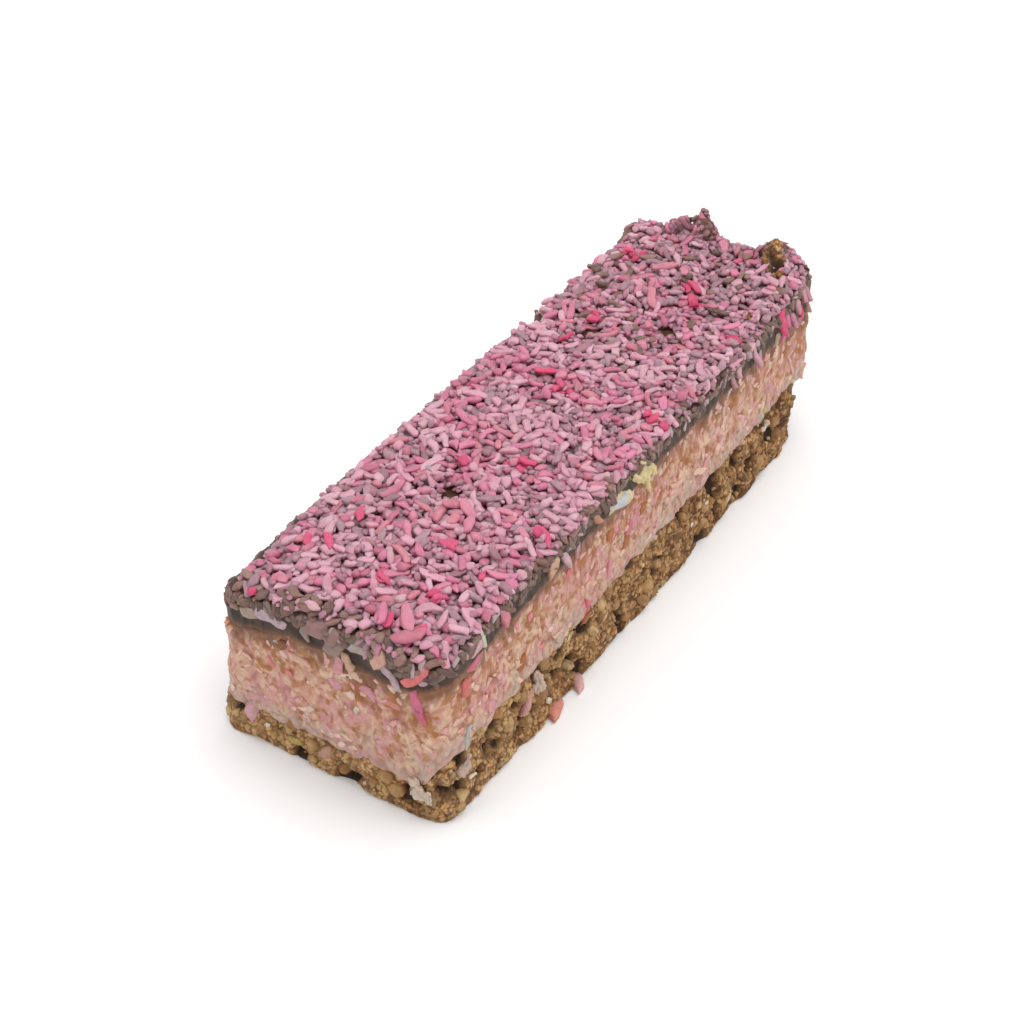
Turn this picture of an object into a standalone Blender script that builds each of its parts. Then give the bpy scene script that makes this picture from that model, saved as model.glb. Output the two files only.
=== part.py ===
"""A finger-shaped cherry slice in three layers.

A crumbly chocolate biscuit base carries a thick filling of coconut and chopped cherries,
with a chocolate topping strewn with pink coconut.  The slice lies along X, its neat cut end
at -X and its ragged end at +X.  The base climbs the -Y side, where it was pressed up the
wall of the baking tray.  Metres, +Z up.
"""

import math
import random

import bmesh
import bpy
from mathutils import Euler, Matrix, Vector, noise

MM = 0.001

# Driving dimensions of the whole slice
LENGTH = 122.4 * MM
WIDTH = 38 * MM
CORNER_RADIUS = 2.6 * MM
CHOCOLATE_OVERHANG = 0.4 * MM
RIM_DROPS = (1.6 * MM, 0.5 * MM)  # how far the chocolate's wall and rim stay under its top
SHARPEST_RADIUS = 0.5 * MM  # of the corners of a row that lies far inside the outline
TOP_HEIGHT = 32 * MM  # upper face of the chocolate, under the coconut
BASE_THICKNESS = 6.8 * MM
CHOCOLATE_UNDERSIDE = 28.2 * MM
LAYER_GAP = 0.4 * MM

# How the sides depart from upright
LEFT_LEAN = 1.4 * MM
LEFT_TAPER = 1.8 * MM  # how much narrower the ragged end is than the neat end
RIGHT_LEAN = 1.6 * MM
TOE_LENGTH = 2.4 * MM  # the pointed foot at the neat end's left corner
TOE_REACH = 13 * MM
LOST_CORNER = 4.2 * MM  # crumbled away from the foot at the ragged end's right corner
LOST_REACH = 8 * MM
LOST_ASIDE = 0.6  # of the lost corner's length, across the slice
LOST_TOP = 0.55  # of the height, above which the corner is whole
BITE_DEPTH = 2.2 * MM  # bites out of the ragged end, deepest at the top
FOOT_BITE = 0.3  # of the depth at the top
BITE_SPACING = 17 * MM
BITE_CENTRE = -5 * MM
BITE_REACH = 5 * MM

# The base where it climbs the tray wall
CLIMB_HEIGHT = 6.2 * MM
CLIMB_WIDTH = 3.8 * MM
LIP_WIDTH = 1.0 * MM  # level part at the top of the climb

# The chocolate's lower edge, which hangs over the neat end and most at its left corner
END_SAG = 2.2 * MM
CORNER_SAG = 4.2 * MM
SAG_REACH = 5 * MM
CORNER_REACH = 14 * MM

# Ups and downs of the faces between the layers, and how far in from the edge they reach
BASE_WAVE, BASE_WAVE_SPACING = 0.8 * MM, 11 * MM
EDGE_WAVE, EDGE_WAVE_SPACING = 0.9 * MM, 7 * MM
WAVE_REACH = 4 * MM

# Where the chocolate's upper face rises or dips: plan point, reach and height
SWELLS = (
    (-LENGTH / 2, WIDTH / 2, 14 * MM, -2.2 * MM),
    (-LENGTH / 2, -WIDTH / 2, 12 * MM, -0.9 * MM),
    (LENGTH / 2, WIDTH / 2, 9 * MM, 1.4 * MM),
    (LENGTH / 2, 3.6 * MM, 7 * MM, 2.4 * MM),
    (LENGTH / 2, -WIDTH / 2, 17 * MM, 2.6 * MM),
)
TOP_WAVE, TOP_WAVE_SPACING = 0.6 * MM, 9 * MM

# Surface relief: how far it stands proud, and how far apart its lumps are
CRUMB_RELIEF, CRUMB_SPACING = 2.4 * MM, 3.9 * MM
FILLING_RELIEF, FILLING_SPACING = 0.7 * MM, 4.5 * MM
CHOCOLATE_RELIEF, CHOCOLATE_SPACING = 0.5 * MM, 9 * MM
DEEPEST_PIT = 0.7 * MM
LEVEL_DISTANCE = 0.4  # of the crumb spacing, between a crumb's middle and where it is level

# Coconut, crumbs and flakes that are big enough to model
SHRED_LENGTH = (3.8 * MM, 5.6 * MM)
SHRED_WIDTH = (1.9 * MM, 2.6 * MM)
SHRED_THICKNESS = (1.4 * MM, 1.9 * MM)
SHRED_TILT = 0.06  # radians
SHRED_RISE = 0.3  # of its thickness, from the chocolate up to a shred's middle
SHRED_MARGIN = 1.4 * MM
SHRED_BELLY, SHRED_TAPER = 1.4, 1.8  # its width at the middle, and how fast that narrows
SHRED_BACK, SHRED_DROOP = 0.65, 1.2  # its height at the middle, and how fast that falls
SHRED_ROWS, SHREDS_IN_A_ROW = 6, 26
SCATTER = 0.35  # of the spacing, each way
CRUMB_RADIUS = (1.2 * MM, 2.1 * MM)
CRUMB_LUMPINESS, CRUMB_LUMPS = 0.35, 2  # how deep its lumps are, and how many in its radius
CRUMB_SUNK = 0.3  # of its radius, inside the wall
CRUMB_CLEARANCE = 1.2 * MM
CRUMB_COUNT = 26
FLAKE_LENGTH = (4 * MM, 6.4 * MM)
FLAKE_WIDTH = (1.4 * MM, 2.0 * MM)
FLAKE_THICKNESS = 1.6 * MM
FLAKE_SUNK = 0.25 * MM
FLAKE_TURN = 1.2  # radians from lying level
FLAKE_COUNT = 20

# Shreds that stand on the ragged end: distance across, size, and angles of rise and turn
STANDING_SHREDS = (
    (3.0 * MM, (7.0 * MM, 2.8 * MM, 1.8 * MM), 1.25, 0.2),
    (6.0 * MM, (5.4 * MM, 3.0 * MM, 1.6 * MM), 1.1, -0.7),
    (17.0 * MM, (4.6 * MM, 3.0 * MM, 2.0 * MM), 0.6, 2.6),
    (-16.0 * MM, (5.0 * MM, 2.8 * MM, 2.0 * MM), 0.4, 0.4),
)
STANDING_INSET, STANDING_RISE = 1.6 * MM, 0.6 * MM
# Lumps of base that stick to the top near the ragged end: plan point and radius
STUCK_LUMPS = (
    (LENGTH / 2 - 2.6 * MM, -12.2 * MM, 2.5 * MM),
    (LENGTH / 2 - 5.4 * MM, -13.2 * MM, 1.9 * MM),
    (LENGTH / 2 - 14 * MM, -14.0 * MM, 1.3 * MM),
)

# Puts the middle of the whole outline over the origin
CENTRE_SHIFT = Vector((0, -0.8 * MM, 0))

# The mesh: columns round the outline, rows up each wall, and how far in the other rows lie
COLUMNS = 100
BASE_ROWS, FILLING_ROWS, CHOCOLATE_ROWS = 5, 6, 3
CLIMB_INSETS = (LIP_WIDTH, 2.4 * MM, 4.4 * MM)
TOP_INSETS = (1.6 * MM, 6 * MM, 12 * MM)
SHARP_ANGLE = math.radians(40)
SEED = 11

BISCUIT_BROWN = (0.175, 0.098, 0.044)
CHERRY_PINK = (0.58, 0.33, 0.26)
CHOCOLATE_BROWN = (0.095, 0.066, 0.052)


def smooth(t):
    """Ease from 0 to 1 as t goes from 0 to 1."""
    t = min(max(t, 0.0), 1.0)
    return t * t * (3 - 2 * t)


def nearness(x, y, corner_x, corner_y, reach):
    """1 at a corner of the plan, falling to 0 as far away as the reach."""
    return smooth(1 - math.hypot(x - corner_x, y - corner_y) / reach)


def outline(column, inset=0.0):
    """Plan point and outward direction of a column of the rounded rectangle, or inside it."""
    quarter = math.pi / 2 * CORNER_RADIUS
    runs = [WIDTH - 2 * CORNER_RADIUS, LENGTH - 2 * CORNER_RADIUS] * 2
    radius = max(CORNER_RADIUS - inset, SHARPEST_RADIUS)
    half_x, half_y = LENGTH / 2 - inset - radius, WIDTH / 2 - inset - radius
    corners = [(half_x, half_y), (-half_x, half_y), (-half_x, -half_y), (half_x, -half_y)]
    along = column / COLUMNS * (sum(runs) + 4 * quarter)
    for side, run in enumerate(runs):
        facing = side * math.pi / 2
        corner = Vector(corners[side])
        if along < run:
            normal = Vector((math.cos(facing), math.sin(facing)))
            return Vector(corners[side - 1]).lerp(corner, along / run) + normal * radius, normal
        along -= run
        if along < quarter:
            turned = facing + along / CORNER_RADIUS
            normal = Vector((math.cos(turned), math.sin(turned)))
            return corner + normal * radius, normal
        along -= quarter
    return outline(0, inset)


def leaned(x, y, z):
    """Plan point once the sides lean and the corners and the ragged end have their shape."""
    low = 1 - z / TOP_HEIGHT
    across = y / (WIDTH / 2)
    toe = nearness(x, y, -LENGTH / 2, WIDTH / 2, TOE_REACH)
    lost = nearness(x, y, LENGTH / 2, -WIDTH / 2, LOST_REACH)
    missing = lost * smooth(1 - z / (LOST_TOP * TOP_HEIGHT)) * LOST_CORNER
    bitten = 0.5 + 0.5 * math.cos(2 * math.pi * (y - BITE_CENTRE) / BITE_SPACING)
    bitten *= smooth(1 - (LENGTH / 2 - x) / BITE_REACH) * BITE_DEPTH
    bitten *= 1 - (1 - FOOT_BITE) * low
    if across > 0:
        y += across * (low * LEFT_LEAN - x / LENGTH * LEFT_TAPER)
    else:
        y += across * low * RIGHT_LEAN
    return x - missing - bitten, y + toe * low * TOE_LENGTH + missing * LOST_ASIDE


def edge_share(x, y, reach):
    """1 on the outline, falling to 0 as far inside it as the reach."""
    inside = min(LENGTH / 2 - abs(x), WIDTH / 2 - abs(y))
    return 1 - smooth(inside / reach)


def waved(x, y, spacing, height):
    """Gentle ups and downs of a layer's face near its edge, gone where the slice hides them."""
    spot = Vector((x, y, height)) / spacing
    return noise.noise(spot) * height * edge_share(x, y, WAVE_REACH)


def base_top(x, y):
    """Height of the face between base and filling, which climbs at the tray side."""
    wave = waved(x, y, BASE_WAVE_SPACING, BASE_WAVE)
    climb = smooth((-y - WIDTH / 2 + CLIMB_WIDTH) / (CLIMB_WIDTH - LIP_WIDTH))
    return BASE_THICKNESS + wave + climb * CLIMB_HEIGHT


def chocolate_underside(x, y):
    """Height of the face between filling and chocolate, which sags over the neat end."""
    at_end = smooth(1 - (x + LENGTH / 2) / SAG_REACH) * smooth((y + WIDTH / 2) / SAG_REACH)
    at_corner = nearness(x, y, -LENGTH / 2, WIDTH / 2, CORNER_REACH)
    sag = (at_end * END_SAG + at_corner * CORNER_SAG) * edge_share(x, y, SAG_REACH)
    return CHOCOLATE_UNDERSIDE + waved(x, y, EDGE_WAVE_SPACING, EDGE_WAVE) - sag


def chocolate_top(x, y):
    """Height of the chocolate's upper face."""
    wave = noise.noise(Vector((x, y, 0)) / TOP_WAVE_SPACING) * TOP_WAVE
    swells = sum(nearness(x, y, *place, reach) * rise for *place, reach, rise in SWELLS)
    return TOP_HEIGHT + wave + swells


def crumbly(point):
    """Relief of packed biscuit crumbs, rounded and pitted."""
    distance = noise.voronoi(point / CRUMB_SPACING)[0][0]
    return max((LEVEL_DISTANCE - distance) * CRUMB_RELIEF, -DEEPEST_PIT)


def fibrous(point):
    """Relief of pressed coconut."""
    return noise.noise(point / FILLING_SPACING) * FILLING_RELIEF


def poured(point):
    """Relief of chocolate that set as it ran."""
    return noise.noise(point / CHOCOLATE_SPACING) * CHOCOLATE_RELIEF


def drum(rows):
    """A cylinder with COLUMNS sides, its sides cut into rows, to be shaped into a layer."""
    bm = bmesh.new()
    bmesh.ops.create_cone(
        bm, cap_ends=True, segments=COLUMNS, radius1=1, radius2=1, depth=2
    )
    uprights = [e for e in bm.edges if abs(e.verts[0].co.z - e.verts[1].co.z) > 1]
    bmesh.ops.subdivide_edges(bm, edges=uprights, cuts=rows - 2, use_grid_fill=True)
    return bm


def layer(parts, name, levels, relief, material):
    """A layer of the slice in the parts collection, one row of its drum for each level.

    A level is (inset, height): how far the row lies inside the outline, and a function that
    gives its height from its plan point.  Rows on the outer wall have the relief.
    """
    bm = drum(len(levels))
    for vert in bm.verts:
        turn = math.atan2(vert.co.y, vert.co.x) / (2 * math.pi)
        column = round(turn * COLUMNS) % COLUMNS
        inset, height = levels[round((vert.co.z + 1) / 2 * (len(levels) - 1))]
        plan, normal = outline(column, inset)
        z = height(plan.x, plan.y)
        spot = Vector((plan.x, plan.y, z))
        if inset < LIP_WIDTH / 2:
            plan += normal * relief(spot)
        spot.x, spot.y = leaned(plan.x, plan.y, z)
        vert.co = spot
    bmesh.ops.triangulate(
        bm, faces=bm.faces, quad_method="SHORT_EDGE", ngon_method="EAR_CLIP"
    )
    obj = bpy.data.objects.new(name, mesh_of(bm, name))
    obj.data.materials.append(material)
    parts.objects.link(obj)
    return obj


def wall(low, high, rows, inset=0.0):
    """Levels of an outer wall that runs from one height function up to another."""
    shares = [row / (rows - 1) for row in range(rows)]
    return [(inset, between(low, high, share)) for share in shares]


def between(low, high, share):
    """A height function a share of the way from one height function to another."""
    return lambda x, y: low(x, y) + (high(x, y) - low(x, y)) * share


def raised(height, by):
    """A height function moved up."""
    return lambda x, y: height(x, y) + by


def ground(x, y):
    """Height of the surface that the slice lies on."""
    return 0.0


def shred_mesh():
    """One shred of coconut, a tapered prism one unit long, arched above and flat below."""
    bm = bmesh.new()
    bmesh.ops.create_cone(
        bm, cap_ends=True, segments=4, radius1=0.5, radius2=0.5, depth=1,
        matrix=Matrix.Rotation(math.pi / 4, 4, "Z"),
    )
    uprights = [e for e in bm.edges if abs(e.verts[0].co.z - e.verts[1].co.z) > 0.5]
    bmesh.ops.subdivide_edges(bm, edges=uprights, cuts=1, use_grid_fill=True)
    for vert in bm.verts:
        along, across, up = vert.co.z, vert.co.x, vert.co.y
        width = SHRED_BELLY - SHRED_TAPER * along**2
        back = SHRED_BACK - SHRED_DROOP * along**2
        vert.co = Vector((along, across * width, back if up > 0 else -0.5))
    return mesh_of(bm, "shred")


def crumb_mesh():
    """One crumb, a lumpy ball of unit radius."""
    bm = bmesh.new()
    bmesh.ops.create_icosphere(bm, subdivisions=1, radius=1)
    for vert in bm.verts:
        vert.co *= 1 + CRUMB_LUMPINESS * noise.noise(CRUMB_LUMPS * vert.co)
    return mesh_of(bm, "crumb")


def mesh_of(bm, name):
    """The finished mesh of a bmesh, which is freed."""
    mesh = bpy.data.meshes.new(name)
    bm.to_mesh(mesh)
    bm.free()
    return mesh


def placed(mesh, collection, centre, turn, size):
    """A small piece at a spot in the slice, in the collection that will be fused."""
    obj = bpy.data.objects.new(mesh.name, mesh)
    obj.matrix_world = Matrix.LocRotScale(centre, turn, size)
    obj.hide_render = True
    obj.display_type = "WIRE"
    collection.objects.link(obj)


def any_turn(rng):
    """A random turn about all three axes."""
    return Euler([rng.uniform(0, 2 * math.pi) for _ in range(3)])


def strewn_coconut(collection, rng):
    """Shreds of coconut spread evenly over the chocolate, lying flat at random turns."""
    mesh = shred_mesh()
    step_x = (LENGTH - 2 * SHRED_MARGIN) / SHREDS_IN_A_ROW
    step_y = (WIDTH - 2 * SHRED_MARGIN) / SHRED_ROWS
    for row in range(SHRED_ROWS):
        for place in range(SHREDS_IN_A_ROW):
            x = (place + 0.5 + rng.uniform(-SCATTER, SCATTER) - SHREDS_IN_A_ROW / 2) * step_x
            y = (row + 0.5 + rng.uniform(-SCATTER, SCATTER) - SHRED_ROWS / 2) * step_y
            size = Vector(
                rng.uniform(*limits)
                for limits in (SHRED_LENGTH, SHRED_WIDTH, SHRED_THICKNESS)
            )
            turn = Euler((0, rng.uniform(-SHRED_TILT, SHRED_TILT), rng.uniform(0, math.pi)))
            centre = Vector((x, y, chocolate_top(x, y) + size.z * SHRED_RISE))
            placed(mesh, collection, centre, turn, size)


def broken_crust(collection, rng):
    """What stands up near the ragged end: shreds on edge, and lumps of base stuck to the top."""
    shred, lump = shred_mesh(), crumb_mesh()
    for across, size, rise, turn in STANDING_SHREDS:
        x = leaned(LENGTH / 2 - STANDING_INSET, across, TOP_HEIGHT)[0]
        centre = Vector((x, across, chocolate_top(LENGTH / 2, across) + STANDING_RISE))
        placed(shred, collection, centre, Euler((0, -rise, turn)), Vector(size))
    for x, y, radius in STUCK_LUMPS:
        centre = Vector((x, y, chocolate_top(x, y) + radius / 2))
        placed(lump, collection, centre, any_turn(rng), Vector([radius] * 3))


def loose_crumbs(collection, rng):
    """Crumbs that stand out of the base's sides."""
    mesh = crumb_mesh()
    for number in range(CRUMB_COUNT):
        edge, normal = outline((number + rng.random()) * COLUMNS / CRUMB_COUNT)
        radius = rng.uniform(*CRUMB_RADIUS)
        lowest = radius + CRUMB_CLEARANCE / 4
        highest = base_top(edge.x, edge.y) - radius - CRUMB_CLEARANCE
        z = rng.uniform(lowest, max(lowest, highest))
        plan = Vector(leaned(edge.x, edge.y, z)) - normal * radius * CRUMB_SUNK
        placed(mesh, collection, Vector((*plan, z)), any_turn(rng), Vector([radius] * 3))


def near_corner(edge, reach):
    """Whether a point of the outline lies within the reach of a corner."""
    return abs(edge.x) > LENGTH / 2 - reach and abs(edge.y) > WIDTH / 2 - reach


def side_flakes(collection, rng):
    """Long coconut flakes that lie in the cut sides of the filling, clear of its corners."""
    mesh = shred_mesh()
    reach = FLAKE_LENGTH[1] / 2
    for number in range(FLAKE_COUNT):
        edge, normal = outline((number + rng.random()) * COLUMNS / FLAKE_COUNT)
        if near_corner(edge, reach):
            continue
        low, high = base_top(edge.x, edge.y) + reach, chocolate_underside(edge.x, edge.y) - reach
        z = rng.uniform(low, high)
        plan = Vector(leaned(edge.x, edge.y, z)) - normal * FLAKE_SUNK
        facing = math.atan2(normal.y, normal.x) + math.pi / 2
        turn = Euler((0, rng.uniform(-FLAKE_TURN, FLAKE_TURN), facing))
        size = Vector((rng.uniform(*FLAKE_LENGTH), FLAKE_THICKNESS, rng.uniform(*FLAKE_WIDTH)))
        placed(mesh, collection, Vector((*plan, z)), turn, size)


def loose_faces(bm):
    """Faces outside a mesh's largest body, where a body hangs together across edges."""
    unseen, bodies = set(bm.faces), []
    while unseen:
        front = [unseen.pop()]
        body = list(front)
        while front:
            near = {face for old in front for edge in old.edges for face in edge.link_faces}
            front = list(near & unseen)
            unseen -= near
            body += front
        bodies.append(body)
    bodies.sort(key=len)
    return [face for body in bodies[:-1] for face in body]


def fused(obj, collection):
    """Joins everything in the collection to the object as one solid, then drops the pieces.

    Loose scraps go, and so do the walls of sealed hollows.
    """
    join = obj.modifiers.new("join", "BOOLEAN")
    join.operation = "UNION"
    join.operand_type = "COLLECTION"
    join.collection = collection
    join.solver = "EXACT"
    graph = bpy.context.evaluated_depsgraph_get()
    whole = bpy.data.meshes.new_from_object(obj.evaluated_get(graph))
    obj.modifiers.clear()
    obj.data = whole
    bm = bmesh.new()
    bm.from_mesh(whole)
    bmesh.ops.delete(bm, geom=loose_faces(bm), context="FACES")
    bmesh.ops.triangulate(bm, faces=bm.faces, ngon_method="EAR_CLIP")
    bm.to_mesh(whole)
    bm.free()
    whole.shade_smooth()
    whole.set_sharp_from_angle(angle=SHARP_ANGLE)
    for piece in list(collection.objects):
        bpy.data.objects.remove(piece)
    bpy.data.collections.remove(collection)


def small_pieces(name):
    """An empty collection in the scene for pieces that are about to be fused."""
    collection = bpy.data.collections.new(name)
    collection.hide_render = True
    bpy.context.scene.collection.children.link(collection)
    return collection


def finish(name, colour, roughness):
    """A Principled material of one colour."""
    material = bpy.data.materials.new(name)
    material.use_nodes = True
    shader = material.node_tree.nodes["Principled BSDF"]
    shader.inputs["Base Color"].default_value = (*colour, 1)
    shader.inputs["Roughness"].default_value = roughness
    shader.inputs["Metallic"].default_value = 0
    return material


def biscuit_base(parts, rng):
    """The crumb base: flat below, its top climbing at the tray side."""
    side = wall(ground, base_top, BASE_ROWS)
    top = [(inset, base_top) for inset in CLIMB_INSETS]
    biscuit = finish("Biscuit", BISCUIT_BROWN, 0.9)
    obj = layer(parts, "biscuit_base", side + top, crumbly, biscuit)
    crumbs = small_pieces("crumbs")
    loose_crumbs(crumbs, rng)
    fused(obj, crumbs)
    return obj


def coconut_filling(parts, rng):
    """The coconut and cherry filling, between base and chocolate."""
    floor = raised(lambda x, y: base_top(x, y - LAYER_GAP), LAYER_GAP)
    ceiling = raised(chocolate_underside, -LAYER_GAP)
    bottom = [(inset, floor) for inset in reversed(CLIMB_INSETS)]
    side = wall(floor, ceiling, FILLING_ROWS)
    top = [(SAG_REACH, ceiling)]
    filling = finish("Filling", CHERRY_PINK, 0.7)
    obj = layer(parts, "coconut_filling", bottom + side + top, fibrous, filling)
    flakes = small_pieces("flakes")
    side_flakes(flakes, rng)
    fused(obj, flakes)
    return obj


def chocolate_topping(parts, rng):
    """The chocolate with its rounded rim, and the coconut that is set into it."""
    bottom = [(SAG_REACH, chocolate_underside)]
    shoulder, edge = (raised(chocolate_top, -drop) for drop in RIM_DROPS)
    side = wall(chocolate_underside, shoulder, CHOCOLATE_ROWS, -CHOCOLATE_OVERHANG)
    rim = [(CHOCOLATE_OVERHANG, edge)]
    top = [(inset, chocolate_top) for inset in TOP_INSETS]
    chocolate = finish("Chocolate", CHOCOLATE_BROWN, 0.45)
    obj = layer(parts, "chocolate_topping", bottom + side + rim + top, poured, chocolate)
    coconut = small_pieces("coconut")
    strewn_coconut(coconut, rng)
    broken_crust(coconut, rng)
    fused(obj, coconut)
    return obj


def clear_scene():
    """Removes what the new file came with."""
    for obj in list(bpy.data.objects):
        bpy.data.objects.remove(obj)


def main():
    clear_scene()
    parts = bpy.data.collections.new("cherry slice")
    bpy.context.scene.collection.children.link(parts)
    centre = bpy.data.objects.new("cherry_slice", None)
    centre.location = CENTRE_SHIFT
    parts.objects.link(centre)
    rng = random.Random(SEED)
    for build in (biscuit_base, coconut_filling, chocolate_topping):
        build(parts, rng).parent = centre


main()
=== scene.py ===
"""The looks of a finger-shaped cherry slice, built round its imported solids.

The slice lies along X, its neat cut end at -X, its ragged end at +X and its tray side at -Y.
From below it is a pressed biscuit crumb base, a coconut and cherry filling, poured chocolate,
and pink coconut strewn over that.  The file is laid out as an add-on and is run as a script:
each operator makes one piece, or one group of like pieces.  Metres, +Z up.
"""

import functools
import math

import bmesh
import bpy
import numpy as np
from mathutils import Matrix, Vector, noise
from mathutils.bvhtree import BVHTree


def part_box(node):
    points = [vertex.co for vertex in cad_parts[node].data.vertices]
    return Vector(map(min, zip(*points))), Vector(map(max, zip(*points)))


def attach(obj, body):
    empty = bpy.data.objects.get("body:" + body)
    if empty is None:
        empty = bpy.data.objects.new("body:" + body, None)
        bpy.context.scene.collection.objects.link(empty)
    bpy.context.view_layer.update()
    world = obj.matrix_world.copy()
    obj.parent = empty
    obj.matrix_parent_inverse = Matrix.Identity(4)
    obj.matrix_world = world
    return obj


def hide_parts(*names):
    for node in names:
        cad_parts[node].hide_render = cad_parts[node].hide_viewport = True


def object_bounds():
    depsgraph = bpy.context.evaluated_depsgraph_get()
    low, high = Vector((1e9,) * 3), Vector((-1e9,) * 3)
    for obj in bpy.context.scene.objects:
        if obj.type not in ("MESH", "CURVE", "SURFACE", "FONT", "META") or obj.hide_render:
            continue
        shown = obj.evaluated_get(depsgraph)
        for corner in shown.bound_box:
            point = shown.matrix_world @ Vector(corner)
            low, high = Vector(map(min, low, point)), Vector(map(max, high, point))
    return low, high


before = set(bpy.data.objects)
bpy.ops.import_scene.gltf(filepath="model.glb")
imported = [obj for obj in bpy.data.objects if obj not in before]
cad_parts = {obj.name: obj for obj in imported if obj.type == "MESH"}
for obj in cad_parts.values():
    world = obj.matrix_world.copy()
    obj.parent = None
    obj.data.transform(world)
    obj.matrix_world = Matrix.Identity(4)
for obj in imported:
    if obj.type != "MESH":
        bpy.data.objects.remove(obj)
CAD_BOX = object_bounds()

bl_info = {
    "name": "Cherry slice",
    "version": (1, 0, 0),
    "blender": (4, 5, 0),
    "location": "3D View > Sidebar > Cherry slice",
    "description": "Builds a cherry slice: crumb base, coconut filling, chocolate and coconut",
    "category": "Object",
}

MM = 0.001
SEED = 7

# Columns that follow a rounded rectangle just inside the slice's walls
COLUMN_SPACING = 0.3 * MM
PATH_INSET, PATH_RADIUS = 1.2 * MM, 3.6 * MM

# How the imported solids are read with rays
RAY_START, RAY_REACH = 9 * MM, 18 * MM  # level rays, from outside the path
SKY, CELLAR = 80 * MM, -20 * MM  # where upright rays start
EDGE_INSET = 0.8 * MM  # from the wall to where a layer's upper and lower edges are read
OUTLIER_REACH = 5 * MM  # wider than any flake or crumb that is fused to a wall
WALL_ROWS = 14
WALL_BLUR = (0.9 * MM, 0.7)  # along the wall, and in rows up it: hides the solids' facets
EDGE_BLUR = 0.9 * MM
BISCUIT_SEED, FILLING_SEED, CHOCOLATE_SEED = 3 * MM, 18 * MM, 29.3 * MM  # heights on the walls
TOP_STEP, TOP_INSET = 0.8 * MM, 2.6 * MM
TOP_WINDOW, TOP_SHARE = 4, 20  # cells each way, and percentile: the chocolate between shreds
TOP_BLUR = 1.6 * MM
WELD = 0.004 * MM  # joins the points that meet on the middle line
CELL_STRIDE = 61.0  # spreads neighbouring cells over unlike random numbers
BELL_REACH = 3  # widths from the middle of a bell curve to where it is cut off
LAST_CELL = 1.001  # from the end of a map, so that a place keeps a cell beyond it


def hex_linear(code):
    """Linear colour of an sRGB hex value."""
    parts = [int(code[place:place + 2], 16) / 255 for place in (1, 3, 5)]
    return [p / 12.92 if p <= 0.04045 else ((p + 0.055) / 1.055) ** 2.4 for p in parts]


def colour(name, description, code):
    """A colour that a user may change."""
    return bpy.props.FloatVectorProperty(
        name=name, description=description, default=hex_linear(code),
        subtype="COLOR", size=3, min=0, max=1,
    )


def length(name, description, millimetres):
    """A length that a user may change."""
    return bpy.props.FloatProperty(
        name=name, description=description, default=millimetres * MM,
        subtype="DISTANCE", unit="LENGTH", precision=5,
    )


def share(name, description, default):
    """A share from 0 to 1 that a user may change."""
    return bpy.props.FloatProperty(
        name=name, description=description, default=default, subtype="FACTOR", min=0, max=1
    )


def number(name, description, default):
    """A count that a user may change."""
    return bpy.props.IntProperty(name=name, description=description, default=default, min=0)


class BiscuitSettings(bpy.types.PropertyGroup):
    """The pressed crumb base."""

    clump: length("Clump", "Distance between clumps of crumb", 3.3)
    clump_height: length("Clump height", "How far a clump stands out", 1.0)
    crumb: length("Crumb", "Distance between crumbs", 1.1)
    crumb_height: length("Crumb height", "How far a crumb stands out", 0.6)
    grit: length("Grit", "Distance between the finest grains", 0.5)
    grit_height: length("Grit height", "How far grit stands out", 0.2)
    pit: length("Pit", "Distance between holes where crumb fell out", 4.2)
    pit_depth: length("Pit depth", "Depth of those holes", 1.3)
    crumbs: number("Loose crumbs", "Separate crumbs that stand out of the walls", 900)
    flecks: number("Flecks", "Bits of coconut pressed into the base", 40)
    # The base's dark colour is painted shade, laid in its holes and between its crumbs
    dark: colour("Dark", "Crumb down in the holes", "#2f1c0f")
    deep: colour("Deep", "Darkest crumbs", "#6a4425")
    middle: colour("Middle", "Most crumbs", "#a57443")
    light: colour("Light", "Palest crumbs", "#c49b69")
    golden: colour("Golden", "Yellowish grains", "#a98e55")


class FillingSettings(bpy.types.PropertyGroup):
    """The coconut and cherry filling."""

    lump: length("Lump", "Distance between lumps of the cut face", 2.9)
    lump_height: length("Lump height", "How far a lump stands out", 0.5)
    strand: length("Strand", "Distance between strands of coconut", 1.05)
    strand_height: length("Strand height", "How far a strand stands out", 0.26)
    shreds: number("Shreds", "Separate shreds in the cut faces", 760)
    cherries: number("Cherry bits", "Chopped cherry in the cut faces", 46)
    peach: colour("Peach", "Most of the paste", "#bf9175")
    cream: colour("Cream", "Paler paste", "#ceae92")
    pink: colour("Pink", "Paste stained by the cherries", "#bf8385")
    amber: colour("Amber", "Syrupy, translucent spots", "#a0642d")
    milky: colour("Milky", "Greyish white coconut near the base", "#ab978b")
    cherry: colour("Cherry", "Chopped cherry", "#cf5f72")


class ChocolateSettings(bpy.types.PropertyGroup):
    """The poured chocolate."""

    rim: length("Rim", "Radius of the upper edge", 1.5)
    drip: length("Drip", "Distance between drips of the lower edge", 3.8)
    drip_depth: length("Drip depth", "How far a drip hangs", 0.8)
    drag: length("Drag", "Distance between the marks of the knife", 0.8)
    drag_depth: length("Drag depth", "Depth of those marks", 0.16)
    ripple: length("Ripple", "Distance between ripples of the surface", 2.6)
    ripple_height: length("Ripple height", "Height of those ripples", 0.32)
    coated: number("Coated grains", "Chocolate-coated coconut in the walls", 600)
    dark: colour("Dark", "Clean chocolate", "#35281f")
    bloom: colour("Bloom", "Chocolate with a dull bloom", "#4f3e33")
    smear: colour("Smear", "Thin chocolate over coconut", "#744a31")


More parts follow.
